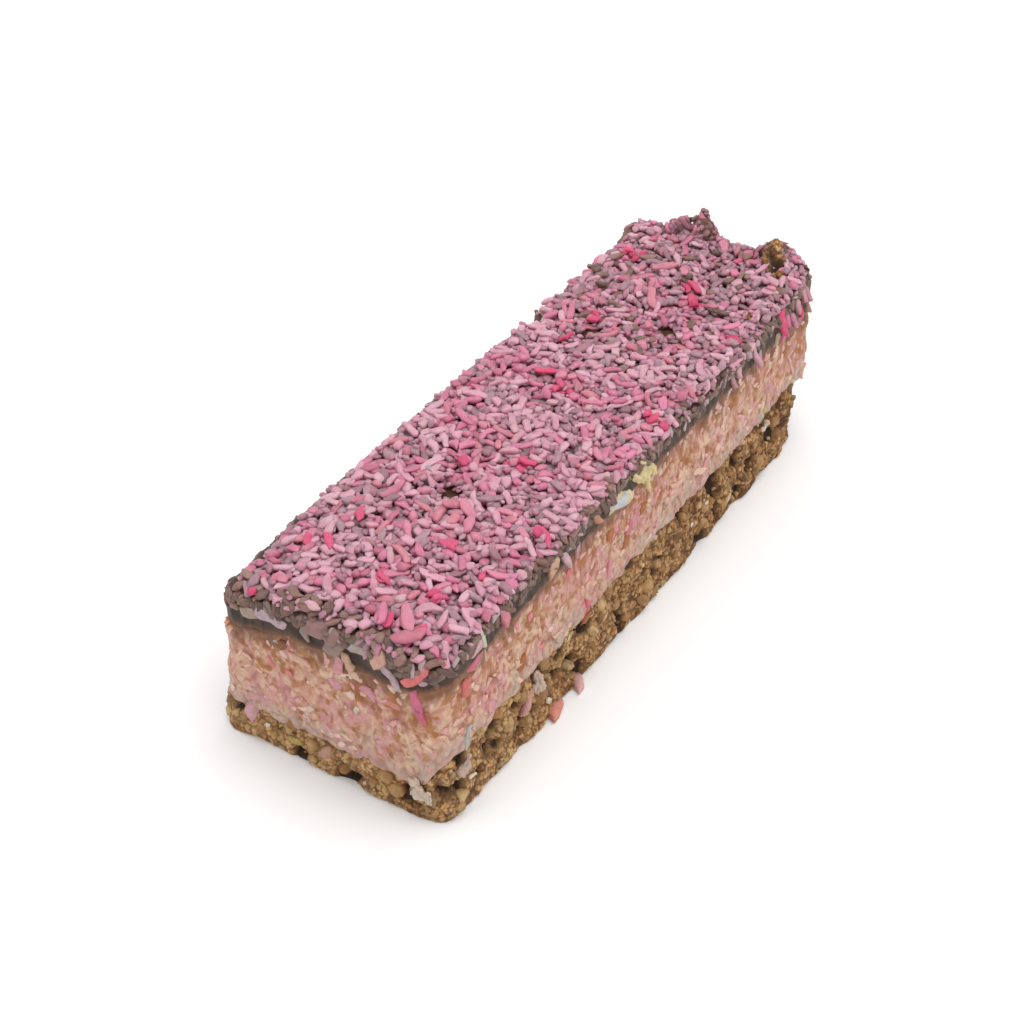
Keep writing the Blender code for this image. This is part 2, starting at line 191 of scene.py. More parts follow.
class CoconutSettings(bpy.types.PropertyGroup):
    """The coconut strewn on top."""

    grains: number("Grains", "Grains strewn over the chocolate", 4100)
    fines: number("Fines", "Small broken bits that fill the gaps between grains", 1300)
    grain_length: length("Length", "Length of a middling grain", 2.4)
    grain_width: length("Width", "Width of a middling grain", 1.5)
    grain_thickness: length("Thickness", "Thickness of a middling grain", 0.9)
    soaked_share: share("Soaked", "Share of the lowest grains that chocolate has soaked", 0.8)
    pale: colour("Pale", "Palest dyed coconut", "#d29dab")
    rose: colour("Rose", "Well dyed coconut", "#cf7f98")
    hot: colour("Hot pink", "Coconut where the dye pooled", "#d04a70")
    mauve: colour("Mauve", "Coconut that chocolate has soaked", "#a07f87")
    coated: colour("Coated", "Coconut under a film of chocolate", "#775b51")


class StageSettings(bpy.types.PropertyGroup):
    """The floor, the lamps and the camera."""

    floor: colour("Floor", "Matt white paper", "#f4f4f2")
    lamp_power: bpy.props.FloatProperty(
        name="Lamp", description="Power of the large lamp", default=4.2, unit="POWER"
    )
    sky: bpy.props.FloatProperty(
        name="Sky", description="Strength of the light from all round", default=0.95, min=0
    )


class SliceSettings(bpy.types.PropertyGroup):
    """All that a user would change."""

    biscuit: bpy.props.PointerProperty(type=BiscuitSettings)
    filling: bpy.props.PointerProperty(type=FillingSettings)
    chocolate: bpy.props.PointerProperty(type=ChocolateSettings)
    coconut: bpy.props.PointerProperty(type=CoconutSettings)
    stage: bpy.props.PointerProperty(type=StageSettings)


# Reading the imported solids


@functools.cache
def path():
    """The columns: plan points, outward directions, and nearest points of the middle line."""
    low, high = (np.array(corner)[:2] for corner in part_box("coconut_filling"))
    half = (high - low) / 2 - PATH_INSET
    reach = half - PATH_RADIUS
    sides = 2 * reach[::-1]  # length of a side that faces X, and of one that faces Y
    quarter = math.pi / 2 * PATH_RADIUS
    total = 2 * sides.sum() + 4 * quarter
    count = 2 * round(total / COLUMN_SPACING / 2)
    corners = [(1, 1), (-1, 1), (-1, -1), (1, -1)]
    points, normals = [], []
    for column in range(count):
        along, side = (column + 0.5) / count * total + sides[0] / 2, 0
        while along > sides[side % 2] + quarter:
            along -= sides[side % 2] + quarter
            side += 1
        run = min(along, sides[side % 2])
        facing = side * math.pi / 2
        tangent = np.array([-math.sin(facing), math.cos(facing)])
        facing += (along - run) / PATH_RADIUS
        normal = np.array([math.cos(facing), math.sin(facing)])
        start = np.array(corners[side % 4 - 1]) * reach
        points.append(start + tangent * run + normal * PATH_RADIUS)
        normals.append(normal)
    centre = (low + high) / 2
    middles = np.zeros((count, 2))
    middles[:, 0] = np.clip(np.array(points)[:, 0], half[1] - half[0], half[0] - half[1])
    return np.array(points) + centre, np.array(normals), middles + centre


def tree_of(mesh):
    """A search tree over the mesh of an object that sits at the origin."""
    mesh.calc_loop_triangles()
    points = np.empty(len(mesh.vertices) * 3)
    mesh.vertices.foreach_get("co", points)
    triangles = np.empty(len(mesh.loop_triangles) * 3, np.int32)
    mesh.loop_triangles.foreach_get("vertices", triangles)
    return BVHTree.FromPolygons(points.reshape(-1, 3).tolist(), triangles.reshape(-1, 3).tolist())


def ray_lengths(tree, starts, ways, reach):
    """How far each ray goes until it meets the surface, or NaN."""
    found = [tree.ray_cast(Vector(s), Vector(w), reach)[3] for s, w in zip(starts, ways)]
    return np.array([math.nan if hit is None else hit for hit in found])


def mended(values):
    """Values round the slice, with each gap bridged from its two sides."""
    places = np.arange(len(values))
    known = ~np.isnan(values)
    return np.interp(places, places[known], values[known], period=len(values))


def blurred(values, widths, closed=False):
    """Values averaged along each axis over a bell curve that many samples wide.

    A closed first axis runs round the slice and joins itself.
    """
    for axis, width in enumerate(widths):
        reach = math.ceil(BELL_REACH * width)
        offsets = np.arange(-reach, reach + 1)
        weights = np.exp(-0.5 * (offsets / width) ** 2)
        mode = "wrap" if closed and axis == 0 else "edge"
        margins = [(reach, reach) if other == axis else (0, 0) for other in range(values.ndim)]
        padded = np.pad(values, margins, mode=mode)
        length_here = values.shape[axis]
        values = sum(
            weight * np.take(padded, np.arange(length_here) + start, axis=axis)
            for start, weight in enumerate(weights / weights.sum())
        )
    return values


def heights_of(tree, plan, from_above):
    """Height of a surface over each plan point, met from above or from below."""
    start, way = (SKY, -1) if from_above else (CELLAR, 1)
    starts = np.column_stack([plan, np.full(len(plan), start)])
    ways = np.tile((0.0, 0.0, way), (len(plan), 1))
    return start + way * ray_lengths(tree, starts, ways, SKY - CELLAR)


class Wall:
    """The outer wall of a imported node, read with rays at every column."""

    def __init__(self, node, seed_height, tops=None):
        self.tree = tree_of(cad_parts[node].data)
        self.points, self.normals, _ = path()
        count = len(self.points)
        seeds = mended(self.out_at(np.full(count, seed_height)))
        reach = round(OUTLIER_REACH / COLUMN_SPACING / 2)
        seeds = np.median([np.roll(seeds, by) for by in range(-reach, reach + 1)], axis=0)
        inside = self.points + self.normals * (seeds - EDGE_INSET)[:, None]
        blur = [EDGE_BLUR / COLUMN_SPACING]
        self.low, self.high = (
            blurred(mended(heights_of(self.tree, inside, above)), blur, closed=True)
            for above in (False, True)
        )
        if tops is not None:
            self.high = tops(inside)
        shares = (np.arange(WALL_ROWS) + 0.5) / WALL_ROWS
        rows = [mended(self.out_at(self.height(part))) for part in shares]
        blur = (WALL_BLUR[0] / COLUMN_SPACING, WALL_BLUR[1])
        self.rows = blurred(np.column_stack(rows), blur, closed=True)

    def height(self, part):
        """Height of every column at a share of the way up the wall."""
        return self.low + (self.high - self.low) * part

    def out_at(self, heights):
        """How far the solid stands out of the path at every column, at those heights."""
        starts = np.column_stack([self.points + self.normals * RAY_START, heights])
        ways = np.column_stack([-self.normals, np.zeros(len(heights))])
        return RAY_START - ray_lengths(self.tree, starts, ways, RAY_REACH)

    def out(self, part):
        """How far the smoothed wall stands out of the path, a share of the way up it."""
        place = np.clip(part * WALL_ROWS - 0.5, 0, WALL_ROWS - 1)
        row = np.minimum(place.astype(int) if np.ndim(place) else int(place), WALL_ROWS - 2)
        columns = np.arange(len(self.points))
        return self.rows[columns, row] + (place - row) * (
            self.rows[columns, row + 1] - self.rows[columns, row]
        )

    def ring(self, part, out=0.0, rise=0.0):
        """Points of the wall a share of the way up, moved outwards and up."""
        plan = self.points + self.normals * (self.out(part) + out)[:, None]
        return np.column_stack([plan, self.height(part) + rise])

    def facing(self, column, rise=0.0):
        """The way that the wall faces at a column, with a rise."""
        return np.array([*self.normals[column], rise])


class HeightMap:
    """Heights over the plan, on a square grid."""

    def __init__(self, low, high, step):
        self.low, self.step = np.array(low), step
        self.shape = tuple(int(math.ceil(s / step)) + 1 for s in np.subtract(high, low))
        self.heights = np.zeros(self.shape)

    def spots(self):
        """Plan points of all the cells, one row each."""
        x, y = np.meshgrid(*(np.arange(count) for count in self.shape), indexing="ij")
        return np.column_stack([x.ravel(), y.ravel()]) * self.step + self.low

    def at(self, plan):
        """Heights at plan points, between those of the four nearest cells."""
        last = np.array(self.shape) - LAST_CELL
        place = np.clip((plan - self.low) / self.step, 0, last)
        x, y = place.astype(int).T
        a, b = (place - place.astype(int)).T
        h = self.heights
        near = h[x, y] * (1 - b) + h[x, y + 1] * b
        return near * (1 - a) + (h[x + 1, y] * (1 - b) + h[x + 1, y + 1] * b) * a


@functools.cache
def chocolate_level():
    """Heights of the chocolate's upper face, without the shreds that stand out of it."""
    low, high = (np.array(corner)[:2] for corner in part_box("chocolate_topping"))
    level = HeightMap(low, high, TOP_STEP)
    plan = np.clip(level.spots(), low + TOP_INSET, high - TOP_INSET)
    tree = tree_of(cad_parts["chocolate_topping"].data)
    heights = heights_of(tree, plan, from_above=True).reshape(level.shape)
    span = range(-TOP_WINDOW, TOP_WINDOW + 1)
    padded = np.pad(heights, TOP_WINDOW, mode="edge")
    rows, columns = level.shape
    shifted = [
        padded[TOP_WINDOW + x:TOP_WINDOW + x + rows, TOP_WINDOW + y:TOP_WINDOW + y + columns]
        for x in span
        for y in span
    ]
    level.heights = blurred(np.nanpercentile(shifted, TOP_SHARE, axis=0), [TOP_BLUR / TOP_STEP] * 2)
    return level


def rim_radii():
    """Radius of the chocolate's upper edge at every column: larger on the left."""
    normals = path()[1]
    rim = bpy.context.scene.cherry_slice.chocolate.rim
    return rim * (1 + LEFT_ROUNDING * smooth(normals[:, 1]))


@functools.cache
def wall_of(node):
    """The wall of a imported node, read once."""
    if node == "chocolate_topping":
        return Wall(node, CHOCOLATE_SEED, lambda plan: chocolate_level().at(plan) - rim_radii())
    return Wall(node, {"biscuit_base": BISCUIT_SEED, "coconut_filling": FILLING_SEED}[node])


# Shapes


def perlin(points, spacing, offset=0.0):
    """Smooth noise, its lumps about that far apart, from about -1 to 1.

    The offset picks another part of the same noise.
    """
    return np.array([noise.noise(Vector(p)) for p in points / spacing + offset])


def bends(points, spacing, offsets):
    """Three unlike noises, to bend things along three axes."""
    return np.column_stack([perlin(points, spacing, offset) for offset in offsets])


def cells(points, spacing):
    """Distance to the middle of the nearest cell, in spacings, and that cell's random number."""
    found = [noise.voronoi(Vector(p)) for p in points / spacing]
    distances = np.array([distance[0] for distance, _ in found])
    numbers = np.array([noise.cell(near[0] * CELL_STRIDE) for _, near in found])
    return distances, numbers


def smooth(t):
    """Ease from 0 to 1 as t goes from 0 to 1."""
    t = np.clip(t, 0, 1)
    return t * t * (3 - 2 * t)


def kept_inside(points):
    """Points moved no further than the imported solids' box."""
    return np.clip(points, np.array(CAD_BOX[0]), np.array(CAD_BOX[1]))


def placed(name, data):
    """A new object in the scene."""
    obj = bpy.data.objects.new(name, data)
    bpy.context.scene.collection.objects.link(obj)
    return obj


def mesh_object(name, points, faces, material):
    """A smooth-shaded piece that rides on the slice."""
    mesh = bpy.data.meshes.new(name)
    mesh.from_pydata(kept_inside(points).tolist(), [], faces)
    mesh.shade_smooth()
    mesh.materials.append(material)
    obj = placed(name, mesh)
    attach(obj, "root")
    return obj


def give(obj, **numbers):
    """Stores a number for each point of a piece, for its material to read."""
    for name, values in numbers.items():
        layer = obj.data.attributes.new(name, "FLOAT", "POINT")
        layer.data.foreach_set("value", np.asarray(values, np.float32))


def middle_ring(height):
    """The ring that closes a face, on the slice's middle line."""
    middles = path()[2]
    return np.column_stack([middles, np.broadcast_to(height, len(middles))])


def inner_rings(wall, edge, insets, from_above):
    """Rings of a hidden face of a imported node, from its edge in to its middle line."""
    normals = path()[1]
    rings = []
    for inset in insets:
        plan = edge[:, :2] - normals * inset
        rings.append(np.column_stack([plan, mended(heights_of(wall.tree, plan, from_above))]))
    rings.append(middle_ring(np.nanmedian(rings[-1][:, 2])))
    return rings


def ring_faces(ring_count, count):
    """Faces between rings that each have count points."""
    rows, columns = np.meshgrid(np.arange(ring_count - 1), np.arange(count), indexing="ij")
    here, beside = rows * count + columns, rows * count + (columns + 1) % count
    return np.stack([here, beside, beside + count, here + count], axis=-1).reshape(-1, 4).tolist()


def parts_of(bm):
    """Points and faces of a working mesh, which is then freed."""
    points = np.array([vert.co[:] for vert in bm.verts])
    faces = [[vert.index for vert in face.verts] for face in bm.faces]
    bm.free()
    return points, faces


def closed_up(obj):
    """Joins the points that meet on the middle line."""
    bm = bmesh.new()
    bm.from_mesh(obj.data)
    bmesh.ops.remove_doubles(bm, verts=bm.verts, dist=WELD)
    bm.to_mesh(obj.data)
    bm.free()


# Materials


def add(tree, kind, inputs=None, stops=(), **settings):
    """Adds a node: its settings, its ramp's stops, and its inputs as values or as links.

    An input is named, or counted where names repeat.  A node given as an input links by the
    first output that it uses, and (node, name) by the named one.
    """
    node = tree.nodes.new("ShaderNode" + kind)
    for name, value in settings.items():
        setattr(node, name, value)
    for place, (position, tint) in enumerate(stops):
        ramp = node.color_ramp.elements
        stop = ramp[place] if place < 2 else ramp.new(position)
        stop.position, stop.color = position, (*tint, 1)
    for key, value in (inputs or {}).items():
        used = [socket for socket in node.inputs if socket.enabled and socket.name == key]
        socket = used[0] if used else node.inputs[key]
        if isinstance(value, bpy.types.Node):
            value = (value, next(output.name for output in value.outputs if output.enabled))
        if isinstance(value, tuple) and isinstance(value[0], bpy.types.Node):
            source = [o for o in value[0].outputs if o.enabled and o.name == value[1]]
            tree.links.new(source[0], socket)
        elif socket.type == "RGBA" and len(value) == 3:
            socket.default_value = (*value, 1)
        else:
            socket.default_value = value
    return node


def new_material(name):
    """An empty material, its node tree, and the node that gives places on the piece."""
    material = bpy.data.materials.new(name)
    material.use_nodes = True
    tree = material.node_tree
    tree.nodes.clear()
    return material, tree, (add(tree, "TexCoord"), "Object")


def per(spacing):
    """Scale of a texture whose marks lie that far apart."""
    return 1 / spacing


def biscuit_material(settings):
    """Crushed chocolate biscuit, pressed and baked: dry and matt, each crumb its own brown.

    The eye sees pale crumbs stand out of dark holes, with a few golden grains.  The dark in the
    holes and in the gaps between crumbs is painted shade.  It is browner towards the ragged end.
    """
    material, tree, place = new_material("Pressed biscuit crumb")
    tone = (add(tree, "Attribute", attribute_name="tone"), "Fac")
    # The pit attribute is painted shade: how dark a point is in a hole or in a gap between crumbs
    pit = (add(tree, "Attribute", attribute_name="pit"), "Fac")
    grit = add(tree, "TexNoise", {"Vector": place, "Scale": per(0.45 * MM), "Detail": 3})
    broad = add(tree, "TexNoise", {"Vector": place, "Scale": per(6 * MM), "Detail": 2})
    blend = add(tree, "Math", {0: tone, 1: 0.42, 2: -0.64}, operation="MULTIPLY_ADD")
    blend = add(tree, "Math", {0: grit, 1: 0.62, 2: blend}, operation="MULTIPLY_ADD")
    blend = add(tree, "Math", {0: broad, 1: 0.5, 2: blend}, operation="MULTIPLY_ADD")
    specks = add(tree, "TexVoronoi", {"Vector": place, "Scale": per(0.7 * MM)})
    speck = add(tree, "SeparateColor", {"Color": (specks, "Color")})
    blend = add(tree, "Math", {0: (speck, "Red"), 1: 0.5, 2: blend}, operation="MULTIPLY_ADD")
    grain = add(tree, "TexNoise", {"Vector": place, "Scale": per(2.2 * MM), "Detail": 1})
    blend = add(tree, "Math", {0: grain, 1: 0.6, 2: blend}, operation="MULTIPLY_ADD")
    along = add(tree, "SeparateXYZ", {"Vector": place})
    # Darker towards the ragged end and paler at the neat end
    darker_towards_ragged_end = add(tree, "MapRange", {
        "Value": (along, "X"), "From Min": -62 * MM, "From Max": 55 * MM,
        "To Min": 0.12, "To Max": -0.15,
    })
    blend = add(tree, "Math", {0: blend, 1: darker_towards_ragged_end}, operation="ADD")
    stops = [(0.3, settings.deep), (0.92, settings.light), (0.6, settings.middle)]
    crumb = add(tree, "ValToRGB", {"Fac": blend}, stops)
    golden = add(tree, "MapRange", {"Value": grain, "From Min": 0.66, "From Max": 0.74})
    tinted = add(
        tree, "Mix", {"Factor": golden, "A": crumb, "B": settings.golden}, data_type="RGBA"
    )
    # Painted shade: darker towards the dark colour in the cracks between specks of crumb, and
    # wherever the pit attribute marks holes and gaps
    crack_shade = add(tree, "MapRange", {
        "Value": (specks, "Distance"), "From Min": 0.42, "From Max": 0.7, "To Max": 0.7,
    })
    gap = add(tree, "Math", {0: pit, 1: crack_shade}, operation="MAXIMUM")
    tinted = add(tree, "Mix", {"Factor": gap, "A": tinted, "B": settings.dark}, data_type="RGBA")
    bump = add(tree, "Bump", {"Height": grit, "Strength": 0.6, "Distance": 0.14 * MM})
    shader = add(tree, "BsdfPrincipled", {
        "Base Color": tinted, "Roughness": 0.85, "IOR": 1.45, "Normal": bump,
    })
    add(tree, "OutputMaterial", {"Surface": shader})
    return material


def filling_material(settings, film):
    """Coconut bound with condensed milk and cherry syrup, cut cold: moist and translucent.

    The eye sees fibres of peach, cream and pink, dragged downwards by the knife.  Syrup has
    soaked in as amber spots, chocolate stains its upper edge, most of all towards the ragged
    end, and the lower one stays milky.
    """
    material, tree, place = new_material("Coconut and cherry paste")
    rise = (add(tree, "Attribute", attribute_name="rise"), "Fac")
    # This attribute is painted shade in the gaps between the paste's strands
    hollow = (add(tree, "Attribute", attribute_name="hollow"), "Fac")
    drawn = add(tree, "Mapping", {"Vector": place, "Scale": (1, 1, DRAG_STRETCH)})
    blotch = add(tree, "TexNoise", {
        "Vector": drawn, "Scale": per(3.4 * MM), "Detail": 4, "Roughness": 0.62,
    })
    broad = add(tree, "TexNoise", {"Vector": place, "Scale": per(9 * MM), "Detail": 1})
    blotch = add(tree, "Math", {0: broad, 1: 0.7, 2: blotch}, operation="MULTIPLY_ADD")
    stops = [(0.72, settings.pink), (1.0, settings.cream), (0.84, settings.peach)]
    paste = add(tree, "ValToRGB", {"Fac": blotch}, stops)
    strand = add(tree, "TexVoronoi", {"Vector": drawn, "Scale": per(0.8 * MM)})
    strand = add(tree, "SeparateColor", {"Color": (strand, "Color")})
    pale = add(tree, "MapRange", {
        "Value": (strand, "Red"), "From Min": 0.5, "From Max": 1.0, "To Max": 0.85,
    })
    rosy = add(tree, "MapRange", {
        "Value": (strand, "Green"), "From Min": 0.62, "From Max": 1.0, "To Max": 0.85,
    })
    soaked = add(tree, "TexNoise", {
        "Vector": place, "Scale": per(2.3 * MM), "Detail": 3, "Roughness": 0.58,
    })
    soaked = add(tree, "Math", {0: rise, 1: 0.2, 2: soaked}, operation="MULTIPLY_ADD")
    syrup = add(tree, "MapRange", {
        "Value": soaked, "From Min": 0.6, "From Max": 0.73, "To Max": 0.85,
    })
    drops = add(tree, "TexVoronoi", {"Vector": place, "Scale": per(2.1 * MM)})
    drops = add(
        tree, "Math", {0: soaked, 1: -0.9, 2: (drops, "Distance")}, operation="MULTIPLY_ADD"
    )
    drops = add(tree, "MapRange", {
        "Value": drops, "From Min": -0.22, "From Max": -0.33, "To Max": 0.92,
    })
    low = add(tree, "Math", {0: rise, 1: -1.3, 2: blotch}, operation="MULTIPLY_ADD")
    low = add(tree, "Math", {0: (strand, "Blue"), 1: 0.3, 2: low}, operation="MULTIPLY_ADD")
    low = add(tree, "MapRange", {"Value": low, "From Min": 0.62, "From Max": 1.05, "To Max": 0.8})
    streak = add(tree, "Mapping", {"Vector": place, "Scale": (1, 1, STREAK_STRETCH)})
    streak = add(tree, "TexNoise", {"Vector": streak, "Scale": per(1.5 * MM), "Detail": 2})
    along = add(tree, "SeparateXYZ", {"Vector": place})
    ragged = add(tree, "MapRange", {
        "Value": (along, "X"), "From Min": 10 * MM, "From Max": 55 * MM, "To Max": 0.2,
    })
    streak = add(tree, "Math", {0: streak, 1: ragged}, operation="ADD")
    runs = add(tree, "Math", {0: rise, 1: 0.42, 2: streak}, operation="MULTIPLY_ADD")
    runs = add(tree, "MapRange", {
        "Value": runs, "From Min": 0.84, "From Max": 1.02, "To Max": 0.8,
    })
    stain = add(tree, "Math", {0: streak, 1: 0.5, 2: rise}, operation="MULTIPLY_ADD")
    stain = add(tree, "MapRange", {
        "Value": stain, "From Min": 1.06, "From Max": 1.2, "To Max": 0.85,
    })
    for cover, tint in (
        (pale, settings.cream), (rosy, settings.pink), (syrup, settings.amber),
        (drops, settings.amber), (low, settings.milky), (runs, settings.amber), (stain, film),
    ):
        paste = add(tree, "Mix", {"Factor": cover, "A": paste, "B": tint}, data_type="RGBA")
    # Painted shade: the paste is multiplied towards amber in the gaps between strands
    shaded = add(
        tree, "Mix", {"Factor": hollow, "A": paste, "B": settings.amber}, data_type="RGBA",
        blend_type="MULTIPLY",
    )
    fibre = add(tree, "TexNoise", {"Vector": drawn, "Scale": per(0.45 * MM), "Detail": 3})
    bump = add(tree, "Bump", {"Height": fibre, "Strength": 0.7, "Distance": 0.16 * MM})
    shader = add(tree, "BsdfPrincipled", {
        "Base Color": shaded, "Roughness": 0.5, "IOR": 1.46, "Normal": bump,
        "Subsurface Weight": 0.35, "Subsurface Radius": (1.0, 0.55, 0.4),
        "Subsurface Scale": 1.2 * MM,
    })
    add(tree, "OutputMaterial", {"Surface": shader})
    return material


def chocolate_material(settings):
    """Compound chocolate, poured and cooled: smooth, with a dull bloom that greys it.

    The eye sees a satin grey-brown band, paler in patches, browner where it thins out.
    """
    material, tree, place = new_material("Bloomed compound chocolate")
    thin = (add(tree, "Attribute", attribute_name="thin"), "Fac")
    patch = add(tree, "TexNoise", {
        "Vector": place, "Scale": per(3.2 * MM), "Detail": 5, "Roughness": 0.62,
    })
    bloomed = add(tree, "MapRange", {"Value": patch, "From Min": 0.38, "From Max": 0.7})
    surface = add(
        tree, "Mix", {"Factor": bloomed, "A": settings.dark, "B": settings.bloom},
        data_type="RGBA",
    )
    surface = add(
        tree, "Mix", {"Factor": thin, "A": surface, "B": settings.smear}, data_type="RGBA"
    )
    gloss = add(tree, "MapRange", {"Value": patch, "To Min": 0.42, "To Max": 0.62})
    speck = add(tree, "TexNoise", {"Vector": place, "Scale": per(0.6 * MM), "Detail": 2})
    bump = add(tree, "Bump", {"Height": speck, "Strength": 0.4, "Distance": 0.09 * MM})
    shader = add(tree, "BsdfPrincipled", {
        "Base Color": surface, "Roughness": gloss, "IOR": 1.5, "Specular IOR Level": 0.2,
        "Normal": bump,
    })
    add(tree, "OutputMaterial", {"Surface": shader})
    return material


def coconut_material(name, tints, translucency=0.7):
    """Desiccated coconut: dry white flesh, chopped and dyed, a little translucent at its edges.

    The eye sees each grain in its own shade, clouded where the dye took unevenly.
    """
    material, tree, place = new_material(name)
    spread = len(tints) - 1
    stops = [(step / spread, tint) for step, tint in enumerate(tints)]
    stops = [stops[0], stops[-1], *stops[1:-1]]
    cloud = add(tree, "TexNoise", {"Vector": place, "Scale": per(1.3 * MM), "Detail": 3})
    each = (add(tree, "NewGeometry"), "Random Per Island")
    shade = add(tree, "Math", {0: cloud, 1: 0.5, 2: -0.25}, operation="MULTIPLY_ADD")
    shade = add(tree, "Math", {0: each, 1: shade}, operation="ADD")
    grain = add(tree, "ValToRGB", {"Fac": shade}, stops)
    fibre = add(tree, "TexNoise", {"Vector": place, "Scale": per(0.35 * MM), "Detail": 2})
    bump = add(tree, "Bump", {"Height": fibre, "Strength": 0.5, "Distance": 0.1 * MM})
    shader = add(tree, "BsdfPrincipled", {
        "Base Color": grain, "Roughness": 0.6, "IOR": 1.45, "Normal": bump,
        "Subsurface Weight": translucency, "Subsurface Radius": (1.0, 0.55, 0.55),
        "Subsurface Scale": 1.1 * MM,
    })
    add(tree, "OutputMaterial", {"Surface": shader})
    return material


def crust_material(coconut, chocolate):
    """Chocolate broken with coconut in it: dull, torn, each shred in its own shade.

    The eye sees mauve and rosy shreds bound by dark chocolate that shows between them.
    """
    material, tree, place = new_material("Broken chocolate and coconut")
    shreds = add(tree, "TexVoronoi", {"Vector": place, "Scale": per(1.6 * MM)})
    shred = add(tree, "SeparateColor", {"Color": (shreds, "Color")})
    cloud = add(tree, "TexNoise", {"Vector": place, "Scale": per(0.9 * MM), "Detail": 3})
    shade = add(tree, "Math", {0: cloud, 1: 0.6, 2: -0.3}, operation="MULTIPLY_ADD")
    shade = add(tree, "Math", {0: (shred, "Red"), 1: shade}, operation="ADD")
    stops = [
        (0.0, chocolate.dark), (1.0, coconut.rose), (0.25, chocolate.smear),
        (0.45, coconut.coated), (0.7, coconut.mauve),
    ]
    torn = add(tree, "ValToRGB", {"Fac": shade}, stops)
    gap = add(tree, "MapRange", {
        "Value": (shreds, "Distance"), "From Min": 0.45, "From Max": 0.8, "To Max": 0.65,
    })
    torn = add(tree, "Mix", {"Factor": gap, "A": torn, "B": chocolate.dark}, data_type="RGBA")
    bump = add(tree, "Bump", {"Height": cloud, "Strength": 0.6, "Distance": 0.2 * MM})
    shader = add(tree, "BsdfPrincipled", {
        "Base Color": torn, "Roughness": 0.6, "IOR": 1.46, "Normal": bump,
        "Subsurface Weight": 0.3, "Subsurface Radius": (1.0, 0.5, 0.4),
        "Subsurface Scale": 0.8 * MM,
    })
    add(tree, "OutputMaterial", {"Surface": shader})
    return material


def odd_material():
    """Stray shreds, flakes and crumbs of sugar: dry, each in its own colour, a little clouded."""
    material, tree, place = new_material("Stray shreds and flakes")
    tint = (add(tree, "Attribute", attribute_name="tint"), "Color")
    cloud = add(tree, "TexNoise", {"Vector": place, "Scale": per(0.8 * MM), "Detail": 3})
    shade = add(tree, "MapRange", {"Value": cloud, "To Min": 0.62, "To Max": 1.25})
    shade = add(tree, "CombineColor", {"Red": shade, "Green": shade, "Blue": shade})
    tinted = add(
        tree, "Mix", {"Factor": 1.0, "A": tint, "B": shade}, data_type="RGBA",
        blend_type="MULTIPLY",
    )
    bump = add(tree, "Bump", {"Height": cloud, "Strength": 0.5, "Distance": 0.15 * MM})
    shader = add(tree, "BsdfPrincipled", {
        "Base Color": tinted, "Roughness": 0.6, "IOR": 1.45, "Normal": bump,
        "Subsurface Weight": 0.5, "Subsurface Radius": (1.0, 0.6, 0.55),
        "Subsurface Scale": 0.8 * MM,
    })
    add(tree, "OutputMaterial", {"Surface": shader})
    return material


def paper_material(settings):
    """Matt white paper, rolled out: even, with a tooth too fine to see, so drawn coarse."""
    material, tree, place = new_material("Matt white paper")
    tooth = add(tree, "TexNoise", {"Vector": place, "Scale": per(3 * MM), "Detail": 4})
    bump = add(tree, "Bump", {"Height": tooth, "Strength": 0.05, "Distance": 0.1 * MM})
    shader = add(tree, "BsdfPrincipled", {
        "Base Color": settings.floor, "Roughness": 0.9, "Normal": bump,
    })
    add(tree, "OutputMaterial", {"Surface": shader})
    return material


# Layers

# How many rings lie up each wall, round the upper edge, and in over the top
BISCUIT_ROWS, FILLING_ROWS, CHOCOLATE_ROWS, RIM_ROWS, TOP_ROWS = 42, 66, 14, 6, 26
LEFT_ROUNDING = 0.9  # how much rounder the chocolate's upper edge is on the left
INTERLOCK = 0.9 * MM  # how far a layer's wall runs on past its edge, into the next layer
INTERLOCK_SINK = 0.7 * MM  # how deep it lies there
# The base's upper edge strays up and down: height, spacing, and which part of the noise
WANDER = ((0.9 * MM, 3.4 * MM, 34.0), (0.5 * MM, 1.3 * MM, 13.0))
# How far in from their edge the rings of the hidden faces lie
UNDERSIDE_INSETS = (8 * MM, 3 * MM, 1.2 * MM)
BISCUIT_CAP, CHOCOLATE_FLOOR = (1.6 * MM, 4.6 * MM), (5 * MM,)
FILLING_CAP, FILLING_FLOOR = (5 * MM,), (1.8 * MM, 4.6 * MM)
# Rings between a layer's edge and where its wall ends inside the next: shares of the way
BISCUIT_TUCKS = (0.35, 0.7, 1.0)
FILLING_FOOT_TUCKS, FILLING_HEAD_TUCKS = (0.0, 0.35, 0.7), (0.4, 1.0)
FOOT_RADIUS, FOOT_CURVE = 0.35 * MM, (1.0, 0.3)  # how far the lowest rows draw in: shares of it
FOOT_HOLD, FOOT_RELIEF = 1.2 * MM, 0.25  # below this height, relief fades to this share

# How crumb and paste are shaped, with distances in spacings of their crumbs or strands
DRAG_STRETCH = 0.68  # heights count this much beside widths: the knife drew the paste's marks out
STREAK_STRETCH = 0.3  # the same for syrup and chocolate that ran down the wall
CRUMB_BEND, HOLE_BEND, PASTE_BEND = 0.35, 0.5, 0.5  # how far noise bends them out of shape
DOME_REACH = 0.8  # from the middle of one to where its dome ends
LOWEST_CRUMB, LOWEST_STRAND = 0.35, 0.4  # height of the lowest dome, beside the tallest
CLUMP_LEVEL, CRUMB_LEVEL, STRAND_LEVEL = 0.5, 0.6, 0.5  # what lies level with the wall
PIT_START, PIT_EASE = 0.22, 0.16  # noise above this is a pit, at full depth that much further
CRUMB_GAP, CLUMP_GAP, STRAND_GAP = (0.52, 0.3), (0.55, 0.25), (0.45, 0.4)  # where the painted shade in a gap starts, and its ease
PIT_SHADE, GAP_SHADE, STRAND_SHADE = 0.95, 0.33, 0.4  # how dark the painted shade is down there
FIBRE_SPLIT, FIBRE_SHARE = 2.4, 0.4  # fibres in a strand, and their height beside its height

